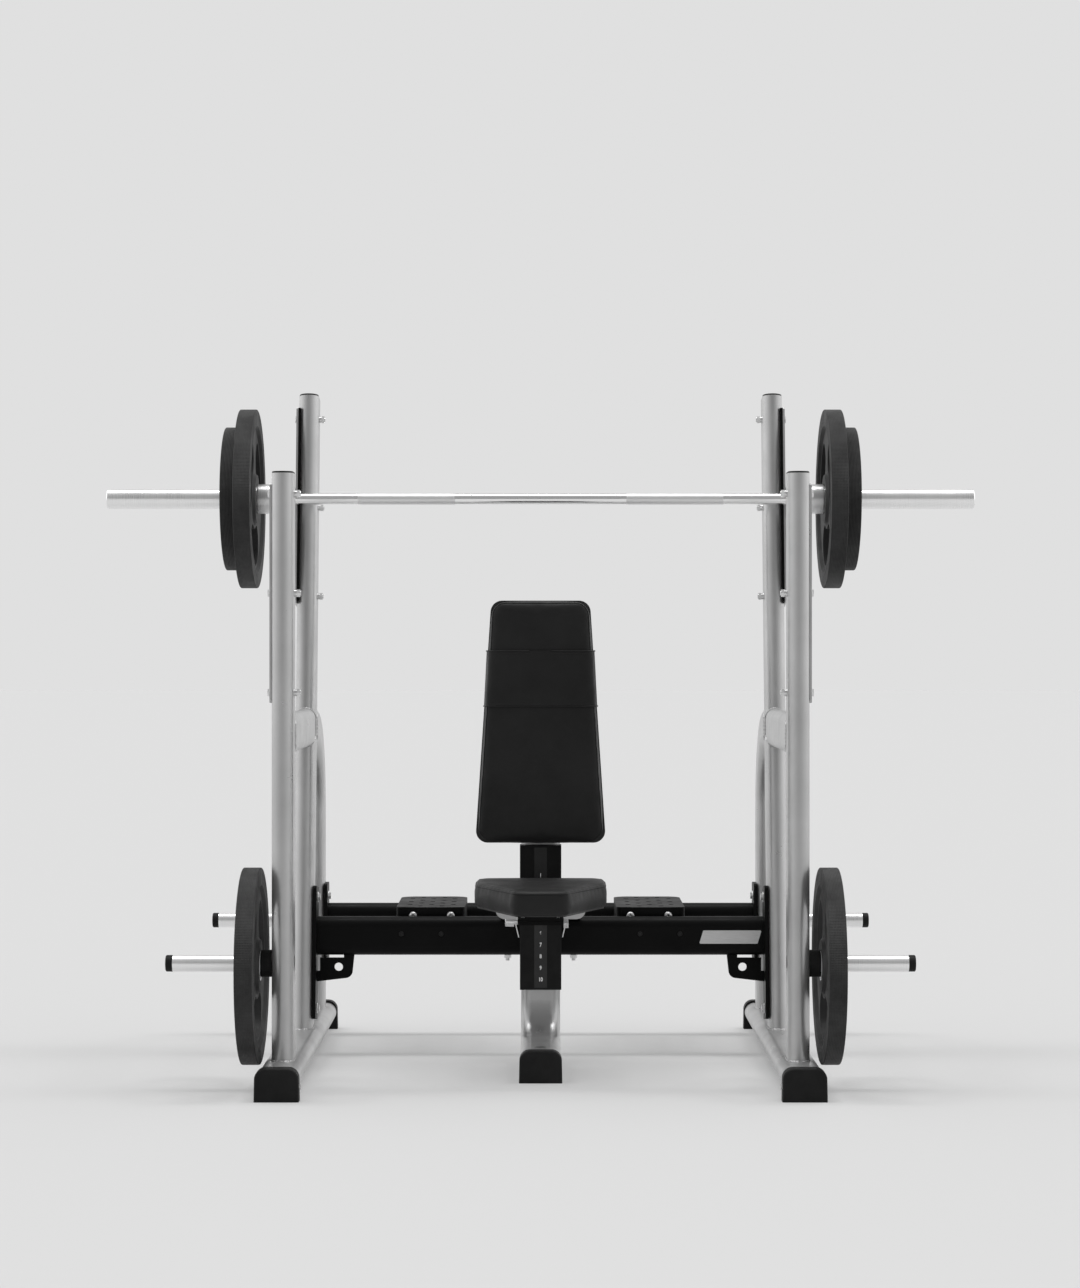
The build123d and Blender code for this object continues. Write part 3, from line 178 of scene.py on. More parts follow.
def moulded(name, dark, light, rough, specular, scale=1500.0, depth=0.0002):
    """Moulded plastic or rubber: a spark-eroded grain and rubbed, slightly dusty patches."""
    nodes = Nodes(name)
    grain = nodes.cells(scale)
    patch = nodes.noise(11.0, 6.0, rough=0.65)
    colour = nodes.blend(nodes.remap(patch, 0.0, 1.0, 0.35, 0.68), grey(dark), grey(light))
    gloss = nodes.remap(patch, rough + 0.08, rough - 0.08, 0.35, 0.68)
    soft = nodes.bump(nodes.noise(60.0, 3.0), 0.12, 0.0006)
    return nodes.finish(colour, gloss, nodes.bump(grain, 0.5, depth, soft), 0.0, specular)


def plated(name, dark, light, rough, stretch, metallic=1.0, bump=0.12):
    """Bright metal with fine turned or brushed lines along one direction."""
    nodes = Nodes(name)
    lines = nodes.noise(1.0, 5.0, nodes.stretched(stretch))
    cloud = nodes.noise(9.0, 4.0)
    colour = nodes.blend(nodes.remap(lines, 0.0, 1.0, 0.3, 0.7), grey(dark), grey(light))
    gloss = nodes.remap(nodes.maths("ADD", lines, cloud), rough - 0.06, rough + 0.1, 0.7, 1.3)
    return nodes.finish(colour, gloss, nodes.bump(lines, bump, 0.00004), metallic, 0.5)


def knurled_shaft():
    """Chromed shaft: turned lines all along, and diamond knurling on the two grip lengths."""
    low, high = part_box("bar_shaft")
    middle_y, middle_z = (low[1] + high[1]) / 2, (low[2] + high[2]) / 2
    nodes = Nodes("shaft_chrome")
    split = nodes.add("ShaderNodeSeparateXYZ")
    nodes.join(nodes.place, split.inputs["Vector"])
    x, y, z = split.outputs
    up = nodes.maths("SUBTRACT", z, middle_z)
    across = nodes.maths("SUBTRACT", y, middle_y)
    angle = nodes.maths("ARCTAN2", up, across)
    around = nodes.maths("MULTIPLY", angle, 22.0)
    run = nodes.maths("MULTIPLY", x, 1900.0)
    first = nodes.maths("SINE", nodes.maths("ADD", run, around))
    second = nodes.maths("SINE", nodes.maths("SUBTRACT", run, around))
    diamond = nodes.maths("MULTIPLY", first, second)
    reach = nodes.maths("ABSOLUTE", x)
    past_start = nodes.maths("GREATER_THAN", reach, KNURL_START)
    before_end = nodes.maths("LESS_THAN", reach, KNURL_END)
    grip = nodes.maths("MULTIPLY", past_start, before_end)
    lines = nodes.noise(1.0, 4.0, nodes.stretched((2500.0, 4.0, 4.0)))
    cut = nodes.maths("MULTIPLY", grip, nodes.remap(diamond, 0.5, 1.0, -1.0, 1.0))
    colour = nodes.blend(cut, grey(0.93), grey(0.74))
    wear = nodes.maths("ADD", grip, nodes.maths("MULTIPLY", lines, 0.3))
    gloss = nodes.remap(wear, 0.2, 0.42, 0.0, 1.2)
    fine = nodes.bump(lines, 0.03, 0.00003)
    normal = nodes.bump(nodes.maths("MULTIPLY", diamond, grip), 0.35, 0.0002, fine)
    return nodes.finish(colour, gloss, normal, 1.0, 0.5)


def disc_tread(kind):
    """Rubber of a disc: a fine crosshatch pressed into its outer edge, plain grain on its faces."""
    low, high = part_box(kind + "_plate_left")
    nodes = Nodes(kind + "_disc_rubber")
    split = nodes.add("ShaderNodeSeparateXYZ")
    nodes.join(nodes.place, split.inputs["Vector"])
    x, y, z = split.outputs
    across = nodes.maths("SUBTRACT", y, (low[1] + high[1]) / 2)
    up = nodes.maths("SUBTRACT", z, (low[2] + high[2]) / 2)
    squares = nodes.maths(
        "ADD", nodes.maths("MULTIPLY", across, across), nodes.maths("MULTIPLY", up, up)
    )
    reach = nodes.maths("SQRT", squares)
    tread = nodes.maths("GREATER_THAN", reach, (high[2] - low[2]) / 2 - TREAD_DEPTH)
    around = nodes.maths("MULTIPLY", nodes.maths("ARCTAN2", up, across), 190.0)
    run = nodes.maths("MULTIPLY", x, 900.0)
    first = nodes.maths("SINE", nodes.maths("ADD", run, around))
    second = nodes.maths("SINE", nodes.maths("SUBTRACT", run, around))
    hatch = nodes.maths("MULTIPLY", first, second)
    patch = nodes.noise(11.0, 6.0, rough=0.65)
    colour = nodes.blend(nodes.remap(patch, 0.0, 1.0, 0.35, 0.68), grey(0.02), grey(0.038))
    gloss = nodes.remap(patch, 0.68, 0.52, 0.35, 0.68)
    grain = nodes.bump(nodes.cells(900.0), 0.5, 0.0003)
    normal = nodes.bump(nodes.maths("MULTIPLY", hatch, tread), 0.8, 0.001, grain)
    return nodes.finish(colour, gloss, normal, 0.0, 0.3)


def vinyl():
    """Black upholstery vinyl: pebbled grain, fine creases and a soft sheen that varies with wear."""
    nodes = Nodes("vinyl")
    pebble = nodes.cells(620.0, "SMOOTH_F1")
    crease = nodes.cells(260.0, "DISTANCE_TO_EDGE")
    wear = nodes.noise(8.0, 5.0)
    colour = nodes.blend(nodes.remap(wear, 0.0, 1.0, 0.35, 0.65), grey(0.006), grey(0.01))
    tops = nodes.blend(nodes.remap(pebble, 0.0, 0.3, 0.3, 0.75), colour, grey(0.014))
    gloss = nodes.remap(wear, 0.6, 0.46, 0.35, 0.65)
    grain = nodes.bump(pebble, 0.4, 0.0004)
    normal = nodes.bump(nodes.remap(crease, 0.0, 1.0, 0.0, 0.08), 0.25, 0.0003, grain)
    return nodes.finish(tops, gloss, normal, 0.0, 0.26)


def stitch_thread():
    """Dark sewing thread with its twist."""
    nodes = Nodes("thread")
    twist = nodes.noise(1.0, 3.0, nodes.stretched((2600.0, 2600.0, 900.0)))
    colour = nodes.blend(twist, grey(0.02), grey(0.05))
    gloss = nodes.remap(twist, 0.5, 0.75)
    return nodes.finish(colour, gloss, nodes.bump(twist, 0.6, 0.0002), 0.0, 0.3)


def print_white():
    """White printed ink with a slight tooth."""
    nodes = Nodes("print_white")
    ink = nodes.noise(700.0, 3.0)
    colour = nodes.blend(ink, grey(0.9), grey(0.98))
    return nodes.finish(colour, nodes.remap(ink, 0.4, 0.6), nodes.bump(ink, 0.2, 0.00005), 0.0, 0.4)


looks = {
    "silver_tube": coated("silver_coat", 0.43, 0.5, 0.72, 0.33, 0.5, grain=1400.0, depth=0.00007),
    "black_tube": coated("black_coat", 0.0015, 0.003, 0.0, 0.42, 0.11),
    "moulded_black": moulded("moulded_black", 0.006, 0.012, 0.55, 0.18),
    "rubber_black": moulded("rubber_black", 0.008, 0.016, 0.65, 0.18, scale=1100.0),
    "disc_rubber": moulded("disc_rubber", 0.02, 0.038, 0.6, 0.3, scale=900.0, depth=0.0003),
    "dark_fasteners": coated("black_oxide", 0.012, 0.022, 0.5, 0.42, 0.3),
    "bright_steel": plated("bright_steel", 0.66, 0.84, 0.3, (900.0, 900.0, 300.0)),
    "chrome": plated("chrome", 0.84, 0.93, 0.3, (2600.0, 4.0, 4.0), bump=0.03),
    "cushion": vinyl(),
    "board": moulded("board_paint", 0.02, 0.04, 0.55, 0.3, scale=500.0),
    "bronze": plated("bronze", 0.35, 0.5, 0.4, (2000.0, 60.0, 60.0)),
    "nylon": moulded("nylon", 0.55, 0.66, 0.5, 0.4),
    "badge_blank": plated("badge_blank", 0.5, 0.7, 0.34, (40.0, 400.0, 3200.0)),
    "scale_strip": moulded("scale_strip", 0.02, 0.03, 0.45, 0.35, scale=2200.0, depth=0.00008),
}
thread = stitch_thread()
white = print_white()
special = {"bar_shaft": knurled_shaft()}
for kind in ("large", "small", "storage"):
    ribbed = disc_tread(kind)
    for side in ("left", "right"):
        special[f"{kind}_plate_{side}"] = ribbed

for node, thing in frame["nodes"].items():
    thing.data.materials.clear()
    thing.data.materials.append(special.get(node, looks[node_slot[node]]))

# ---------------------------------------------------------------- mesh helpers


def keep(name, mesh, look, body, smooth=True):
    """Puts a mesh in the scene as a piece that rides on a body."""
    piece = bpy.data.objects.new(name, mesh)
    bpy.context.scene.collection.objects.link(piece)
    mesh.materials.clear()
    mesh.materials.append(look)
    for face in mesh.polygons:
        face.use_smooth = smooth
    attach(piece, body)
    return piece


def mesh_of(name, points, faces):
    mesh = bpy.data.meshes.new(name)
    mesh.from_pydata([tuple(point) for point in points], [], faces)
    mesh.update()
    return mesh


def turn_outwards(mesh):
    """Makes every face of a closed mesh point outwards."""
    form = bmesh.new()
    form.from_mesh(mesh)
    bmesh.ops.recalc_face_normals(form, faces=form.faces)
    form.to_mesh(mesh)
    form.free()


def tube_shape(path, outward, radius, ripple=0.0, sides=8, closed=True):
    """Points and faces of a tube along a path; ripple swells it in waves, as weld beads do."""
    points, faces = [], []
    count = len(path)
    for index, place in enumerate(path):
        before = path[index - 1] if closed or index else place
        after = path[(index + 1) % count] if closed or index < count - 1 else place
        tangent = (after - before).normalized()
        side = outward(index).normalized()
        third = tangent.cross(side).normalized()
        size = radius * (1 + ripple * math.sin(2 * math.pi * index / 4))
        for turn in range(sides):
            angle = 2 * math.pi * turn / sides
            points.append(place + size * (math.cos(angle) * side + math.sin(angle) * third))
    for index in range(count if closed else count - 1):
        here, there = index * sides, (index + 1) % count * sides
        for turn in range(sides):
            after = (turn + 1) % sides
            faces.append((here + turn, here + after, there + after, there + turn))
    if not closed:
        faces.append(tuple(reversed(range(sides))))
        faces.append(tuple(range((count - 1) * sides, count * sides)))
    return points, faces


def merged(name, shapes, look, body):
    """One piece from several point-and-face shapes."""
    points, faces = [], []
    for shape_points, shape_faces in shapes:
        start = len(points)
        points += shape_points
        faces += [tuple(start + corner for corner in face) for face in shape_faces]
    mesh = mesh_of(name, points, faces)
    turn_outwards(mesh)
    return keep(name, mesh, look, body)


def islands(node):
    """Lowest and highest corner of each separate solid of a CAD node."""
    mesh = frame["nodes"][node].data
    form = bmesh.new()
    form.from_mesh(mesh)
    bmesh.ops.remove_doubles(form, verts=form.verts, dist=1e-6)
    seen, boxes = set(), []
    for start in form.verts:
        if start in seen:
            continue
        stack, low, high = [start], Vector(start.co), Vector(start.co)
        seen.add(start)
        while stack:
            vertex = stack.pop()
            low = Vector(map(min, low, vertex.co))
            high = Vector(map(max, high, vertex.co))
            for edge in vertex.link_edges:
                other = edge.other_vert(vertex)
                if other not in seen:
                    seen.add(other)
                    stack.append(other)
        boxes.append((low, high))
    form.free()
    return boxes


def middle(box):
    """The middle of a box given by its lowest and highest corner."""
    return (Vector(box[0]) + Vector(box[1])) / 2


def lathe(profile, place, axis, segments=48):
    """Points and faces of a closed profile of (along, radius) pairs, turned about an axis."""
    axis = Vector(axis).normalized()
    first = axis.orthogonal().normalized()
    second = axis.cross(first)
    points, faces = [], []
    count = len(profile)
    for turn in range(segments):
        angle = 2 * math.pi * turn / segments
        ray = math.cos(angle) * first + math.sin(angle) * second
        points += [Vector(place) + along * axis + radius * ray for along, radius in profile]
    for turn in range(segments):
        here, there = turn * count, (turn + 1) % segments * count
        for index in range(count):
            after = (index + 1) % count
            faces.append((here + index, there + index, there + after, here + after))
    return points, faces


# ---------------------------------------------------------------- welds

TUBE_WIDE, TUBE_THIN = 0.096, 0.050
LEAN = math.radians(8)
BEAD = 0.0026


def oval(count=112):
    """Points round the tube's section as (across the thin side, along the wide side)."""
    radius = TUBE_THIN / 2
    flat = TUBE_WIDE - TUBE_THIN
    total = 2 * flat + 2 * math.pi * radius
    ring = []
    for index in range(count):
        run = total * index / count
        if run < flat:
            ring.append((radius, run - flat / 2))
        elif run < flat + math.pi * radius:
            angle = (run - flat) / radius
            ring.append((radius * math.cos(angle), flat / 2 + radius * math.sin(angle)))
        elif run < 2 * flat + math.pi * radius:
            ring.append((-radius, flat / 2 - (run - flat - math.pi * radius)))
        else:
            angle = math.pi + (run - 2 * flat - math.pi * radius) / radius
            ring.append((radius * math.cos(angle), -flat / 2 + radius * math.sin(angle)))
    return ring


def weld(path):
    """A rippled bead whose middle lies on the corner between two tubes."""
    centre = sum(path, Vector()) / len(path)
    return tube_shape(path, lambda index: path[index] - centre, BEAD, ripple=0.16)


welds = []
for side in ("left", "right"):
    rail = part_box("base_rail_" + side)
    rail_top = rail[1][2]
    side_x = middle(rail)[0]
    front = middle(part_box("front_upright_" + side))
    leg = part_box("rear_arch_" + side)[1][1] - TUBE_WIDE / 2
    rear_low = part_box("rear_upright_" + side)[0]
    rear_y = rear_low[1] + TUBE_WIDE / 2 / math.cos(LEAN)
    for y, stretch in ((front[1], 1.0), (rear_y, 1 / math.cos(LEAN)), (leg, 1.0)):
        welds.append(weld([Vector((side_x + u, y + v * stretch, rail_top)) for u, v in oval()]))
    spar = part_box("spars")
    spar_z = (spar[0][2] + spar[1][2]) / 2

    def reach(u):
        """How far the section's edge lies from its middle along the wide side."""
        return TUBE_WIDE / 2 - TUBE_THIN / 2 + math.sqrt(max(0.0, (TUBE_THIN / 2) ** 2 - u * u))

    def lean_y(z):
        """The leaning upright's middle at a height."""
        return rear_y + (z - rail_top) * math.tan(LEAN)

    welds.append(weld([Vector((side_x + u, front[1] + reach(u), spar_z + v)) for u, v in oval()]))
    for sign in (-1, 1):
        line = []
        for u, v in oval():
            y = lean_y(spar_z + v) + sign * reach(u) / math.cos(LEAN)
            line.append(Vector((side_x + u, y, spar_z + v)))
        welds.append(weld(line))
merged("weld_beads", welds, looks["silver_tube"], "frame")

# ---------------------------------------------------------------- fasteners

WASHER = [(0.0, 0.0062), (0.0, 0.0128), (0.0012, 0.0132), (0.0020, 0.0126), (0.0020, 0.0062)]
RACK_HEAD = 0.006
FRAME_HEAD = 0.007
TALL_BOLT = 0.05
FOOT_BOLT_TOP = 0.06
SMALL_HEAD_R = 0.0075
DOME_HIGH = 0.005

# The rack bolts and the end plates' bolts have washers; the post's tall bolts and those in the feet do not.
washers = []
for low, high in islands("rack_bolts"):
    side = 1 if low[0] > 0 else -1
    face = side * (max(abs(low[0]), abs(high[0])) - RACK_HEAD)
    washers.append(lathe(WASHER, (face, (low[1] + high[1]) / 2, (low[2] + high[2]) / 2), (side, 0, 0)))
for low, high in islands("frame_bolts"):
    if high[2] - low[2] > TALL_BOLT or high[2] < FOOT_BOLT_TOP:
        continue
    side = 1 if low[0] > 0 else -1
    face = side * (min(abs(low[0]), abs(high[0])) + FRAME_HEAD)
    washers.append(lathe(WASHER, (face, (low[1] + high[1]) / 2, (low[2] + high[2]) / 2), (-side, 0, 0)))
merged("washers", washers, looks["bright_steel"], "frame")

# The heads under the platforms are bare steel, those lower on the beam's face stay black.
bolt_heads = []
for low, high in islands("platform_bolts"):
    radius = (high[0] - low[0]) / 2
    if radius < SMALL_HEAD_R:
        continue
    place = ((low[0] + high[0]) / 2, low[1] + DOME_HIGH, (low[2] + high[2]) / 2)
    dome = [
        (-0.0002, radius + 0.0004),
        (0.0018, radius - 0.0001),
        (0.0040, radius - 0.0014),
        (0.0052, radius - 0.0030),
        (0.0054, 0.0006),
        (-0.0002, 0.0006),
    ]
    bolt_heads.append(lathe(dome, place, (0, -1, 0)))
merged("platform_bolt_heads", bolt_heads, looks["bright_steel"], "frame")

# ---------------------------------------------------------------- discs

HUB_RING = [
    (-0.003, 0.0254),
    (-0.003, 0.0335),
    (0.0007, 0.0335),
    (0.0011, 0.0331),
    (0.0011, 0.0262),
    (0.0003, 0.0254),
]
HUB_SINK = 0.0012
LIP_SHARES = (0.865, 0.94)


def rim_lip(radius):
    """Profile of a thin raised line round a disc's face."""
    return [
        (-0.002, radius - 0.0022),
        (-0.0001, radius - 0.0016),
        (0.0006, radius),
        (-0.0001, radius + 0.0016),
        (-0.002, radius + 0.0022),
    ]


for kind in ("large", "small", "storage"):
    for side in ("left", "right"):
        node = f"{kind}_plate_{side}"
        low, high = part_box(node)
        centre = middle((low, high))
        thick = high[0] - low[0]
        outer = (high[2] - low[2]) / 2
        rings = []
        for sign in (-1, 1):
            face = Vector((centre[0] + sign * (thick / 2 - HUB_SINK), centre[1], centre[2]))
            rings.append(lathe(HUB_RING, face, (sign, 0, 0), 64))
        merged("hub_ring_" + node, rings, looks["bright_steel"], node_body[node])
        lips = []
        for sign in (-1, 1):
            for share in LIP_SHARES:
                face = Vector((centre[0] + sign * thick / 2, centre[1], centre[2]))
                lips.append(lathe(rim_lip(outer * share), face, (sign, 0, 0), 128))
        merged("rim_line_" + node, lips, looks["disc_rubber"], node_body[node])

# ---------------------------------------------------------------- digits on the post

strip_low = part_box("number_strip")[0]
pin_z = middle(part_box("seat_pin"))[2]
STEP = 0.0282
REST_NUMBER = 5
DIGIT_HEIGHT = 0.0132
DIGIT_WIDTH = 0.78
DIGIT_DEPTH = 0.00012
DIGIT_WEIGHT = 0.00045


def digit(number, z):
    """A small flat printed number on the strip."""
    curve = bpy.data.curves.new(f"number_{number}", "FONT")
    curve.body = str(number)
    curve.size = DIGIT_HEIGHT
    curve.align_x = "CENTER"
    curve.align_y = "CENTER"
    curve.extrude = DIGIT_DEPTH
    curve.offset = DIGIT_WEIGHT
    made = bpy.data.objects.new("made", curve)
    bpy.context.scene.collection.objects.link(made)
    bpy.context.view_layer.update()
    mesh = bpy.data.meshes.new_from_object(made.evaluated_get(bpy.context.evaluated_depsgraph_get()))
    bpy.data.objects.remove(made)
    mesh.transform(Matrix.Diagonal((DIGIT_WIDTH, 1.0, 1.0, 1.0)))
    mesh.transform(Matrix.Rotation(math.radians(90), 4, "X"))
    mesh.transform(Matrix.Translation((0, strip_low[1] - 0.0001, z)))
    mesh.name = f"number_{number}"
    keep(f"number_{number}", mesh, white, "frame", smooth=False)


for number in range(1, 11):
    digit(number, pin_z + (REST_NUMBER - number) * STEP)

# ---------------------------------------------------------------- cushions

VOXEL = 0.0045
SWELL_CAP = 0.0024
CLOTH_PRESSURE = 2.2
CLOTH_STRETCH = 25.0
CLOTH_BENDING = 12.0
CLOTH_STEPS = 20
PIPING_R = 0.0012
PIPING_STEP = 0.004
PIPING_LIFT = 0.35
STITCH_STEP = 0.0012
STITCH_LIFT = 0.0001
STITCH_R = 0.00045


def rounded(corners, radii, per_corner=9):
    """A closed outline with round corners, as a list of 2-D points."""
    outline = []
    count = len(corners)
    for index, corner in enumerate(corners):
        here = Vector(corner)
        to_last = (Vector(corners[index - 1]) - here).normalized()
        to_next = (Vector(corners[(index + 1) % count]) - here).normalized()
        half = to_last.angle(to_next) / 2
        run = radii[index] / math.tan(half)
        start, end = here + to_last * run, here + to_next * run
        centre = here + (to_last + to_next).normalized() * (radii[index] / math.sin(half))
        for step in range(per_corner):
            share = step / (per_corner - 1)
            ray = (start - centre).lerp(end - centre, share).normalized()
            outline.append(centre + ray * radii[index])
    return outline


def prism(name, outline, place, low, high):
    """A solid between two levels with the given outline; place turns (u, v, level) into a point."""
    count = len(outline)
    points = [place(u, v, level) for level in (low, high) for u, v in outline]
    faces = [tuple(range(count)), tuple(reversed(range(count, 2 * count)))]
    for index in range(count):
        after = (index + 1) % count
        faces.append((index, count + index, count + after, after))
    mesh = mesh_of(name, points, faces)
    turn_outwards(mesh)
    return mesh


def apply_modifiers(piece):
    """Works a piece's modifiers into its mesh."""
    graph = bpy.context.evaluated_depsgraph_get()
    mesh = bpy.data.meshes.new_from_object(piece.evaluated_get(graph))
    piece.modifiers.clear()
    piece.data = mesh


def stuffed(name, mesh, held, crown, body):
    """Swells a pad under pressure with its back held flat, then caps how far each point moved."""
    piece = keep(name, mesh, looks["cushion"], body)
    remesh = piece.modifiers.new("remesh", "REMESH")
    remesh.mode = "VOXEL"
    remesh.voxel_size = VOXEL
    remesh.use_smooth_shade = True
    smooth = piece.modifiers.new("smooth", "SMOOTH")
    smooth.factor = 0.6
    smooth.iterations = 5
    apply_modifiers(piece)
    rest = [vertex.co.copy() for vertex in piece.data.vertices]
    group = piece.vertex_groups.new(name="held")
    group.add([index for index, point in enumerate(rest) if held(point)], 1.0, "REPLACE")
    cloth = piece.modifiers.new("cloth", "CLOTH")
    settings = cloth.settings
    settings.use_pressure = True
    settings.uniform_pressure_force = CLOTH_PRESSURE
    settings.vertex_group_mass = "held"
    settings.tension_stiffness = CLOTH_STRETCH
    settings.compression_stiffness = CLOTH_STRETCH
    settings.bending_stiffness = CLOTH_BENDING
    settings.quality = 5
    settings.effector_weights.gravity = 0.0
    cloth.collision_settings.use_self_collision = False
    cloth.point_cache.frame_start = 1
    cloth.point_cache.frame_end = CLOTH_STEPS
    for step in range(1, CLOTH_STEPS + 1):
        bpy.context.scene.frame_set(step)
    apply_modifiers(piece)
    bpy.context.scene.frame_set(1)
    for vertex, start in zip(piece.data.vertices, rest):
        moved = vertex.co - start
        if moved.length > SWELL_CAP:
            vertex.co = start + moved * (SWELL_CAP / moved.length)
    ease = piece.modifiers.new("ease", "SMOOTH")
    ease.factor = 0.5
    ease.iterations = 14
    apply_modifiers(piece)
    for vertex in piece.data.vertices:
        vertex.co += crown(vertex.co)
    subdivide = piece.modifiers.new("subdivide", "SUBSURF")
    subdivide.levels = 1
    subdivide.render_levels = 1
    apply_modifiers(piece)
    for face in piece.data.polygons:
        face.use_smooth = True
    return piece


def surface_tree(piece):
    """A search tree over a piece's surface."""
    return BVHTree.FromObject(piece, bpy.context.evaluated_depsgraph_get())


def laid(points, tree, lift):
    """Points moved on to a surface, with the outward direction at each."""
    path, normals = [], []
    for point in points:
        place, normal, _, _ = tree.find_nearest(point)
        path.append(place + normal * lift)
        normals.append(normal)
    return path, normals


def spaced(points, gap, closed=True):
    """The same line with evenly spaced points."""
    line = list(points) + ([points[0]] if closed else [])
    made, carry = [], 0.0
    for start, end in zip(line, line[1:]):
        length = (end - start).length
        run = carry
        while run < length:
            made.append(start.lerp(end, run / length))
            run += gap
        carry = run - length
    return made


def seam(name, line, tree, body, radius, closed=True):
    """Piping laid on a pad."""
    path, normals = laid(spaced(line, PIPING_STEP, closed), tree, radius * PIPING_LIFT)
    shape = tube_shape(path, lambda index: normals[index], radius, closed=closed)
    return merged(name, [shape], looks["cushion"], body)


def stitches(name, line, tree, body, closed=True):
    """Short raised thread stitches along a line on a pad."""
    path, normals = laid(spaced(line, STITCH_STEP, closed), tree, STITCH_LIFT)
    shapes = []
    for start in range(0, len(path) - 4, 4):
        run = path[start : start + 3]
        turned = normals[start : start + 3]
        shapes.append(tube_shape(run, lambda index: turned[index], STITCH_R, sides=6, closed=False))
    return merged(name, shapes, thread, body)


INSET = 0.0018
NOSE_HALF = 0.063
WIDEST = 0.242
SEAT_HELD = 0.014
seat_low, seat_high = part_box("seat_pad")
seat_half = (seat_high[0] - seat_low[0]) / 2
seat_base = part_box("seat_board")[0][2] + 0.0004
seat_corners = [
    (-NOSE_HALF + INSET, seat_low[1] + INSET),
    (NOSE_HALF - INSET, seat_low[1] + INSET),
    (seat_half - INSET, seat_low[1] + WIDEST + INSET / 2),
    (seat_half - INSET, seat_high[1] - INSET),
    (-seat_half + INSET, seat_high[1] - INSET),
    (-seat_half + INSET, seat_low[1] + WIDEST + INSET / 2),
]
seat_outline = rounded(seat_corners, (0.02, 0.02, 0.055, 0.028, 0.028, 0.055))


def seat_crown(point):
    """A soft dome over the top of the seat, none at its edges or on its underside."""
    share_x = 1 - min(1.0, abs(point[0]) / seat_half) ** 2
    run = (point[1] - seat_low[1]) / (seat_high[1] - seat_low[1])
    share_y = max(0.0, math.sin(math.pi * min(1.0, max(0.0, run)))) ** 0.7
    high = max(0.0, (point[2] - seat_high[2] + 0.02) / 0.02)
    return Vector((0, 0, 0.004 * share_x * share_y * min(1.0, high)))


seat_mesh = prism(
    "seat_cushion",
    seat_outline,
    lambda u, v, level: Vector((u, v, level)),
    seat_base,
    seat_high[2] - 0.0015,
)
seat = stuffed(
    "seat_cushion",
    seat_mesh,
    lambda point: point[2] < seat_base + SEAT_HELD,
    seat_crown,
    "seat",
)
for vertex in seat.data.vertices:
    vertex.co[2] = max(vertex.co[2], seat_base)
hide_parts("seat_pad")
seat_tree = surface_tree(seat)
seat_ring = [Vector((u * 1.02, v, seat_high[2] - 0.006)) for u, v in seat_outline]
seam("seat_piping", seat_ring, seat_tree, "seat", PIPING_R)
stitch_ring = [
    Vector((u * 0.955, seat_low[1] + 0.006 + (v - seat_low[1]) * 0.97, seat_high[2] + 0.004))
    for u, v in seat_outline
]
stitches("seat_stitches", stitch_ring, seat_tree, "seat")

BACK_HELD = 0.004
REAR_GAP = 0.0003
back_low, back_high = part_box("back_pad")
bottom_half, top_half = (back_high[0] - back_low[0]) / 2, 0.119
back_corners = [
    (-bottom_half + INSET, back_low[2] + INSET),
    (bottom_half - INSET, back_low[2] + INSET),
    (top_half - INSET, back_high[2] - INSET),
    (-top_half + INSET, back_high[2] - INSET),
]
back_outline = rounded(back_corners, (0.037, 0.037, 0.035, 0.035))


def back_crown(point):
    """A shallow swell over the front of the back pad."""
    share_z = math.sin(math.pi * (point[2] - back_low[2]) / (back_high[2] - back_low[2]))
    share_x = 1 - min(1.0, abs(point[0]) / 0.15) ** 2
    front = max(0.0, (back_low[1] + 0.02 - point[1]) / 0.02)
    return Vector((0, -0.0035 * max(0.0, share_x) * max(0.0, share_z) ** 0.6 * min(1.0, front), 0))


back_mesh = prism(
    "back_cushion",
    back_outline,
    lambda u, v, level: Vector((u, level, v)),
    back_low[1] + 0.004,
    back_high[1] - REAR_GAP,
)
back = stuffed(
    "back_cushion",
    back_mesh,
    lambda point: point[1] > back_high[1] - BACK_HELD,
    back_crown,
    "frame",
)
for vertex in back.data.vertices:
    vertex.co[1] = min(vertex.co[1], back_high[1] - REAR_GAP)
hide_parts("back_pad")
back_tree = surface_tree(back)
back_ring = [Vector((u, back_low[1] + 0.007, v)) for u, v in back_outline]
seam("back_piping", back_ring, back_tree, "frame", PIPING_R)

band_low, band_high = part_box("back_pad_band")
BAND_LIFT_LOW = 0.0004
BAND_LIFT_RISE = 0.0016
BAND_SHELL = 0.0026
HEM_R = 0.0017
HEM_IN = 0.0016
STITCH_IN = 0.007


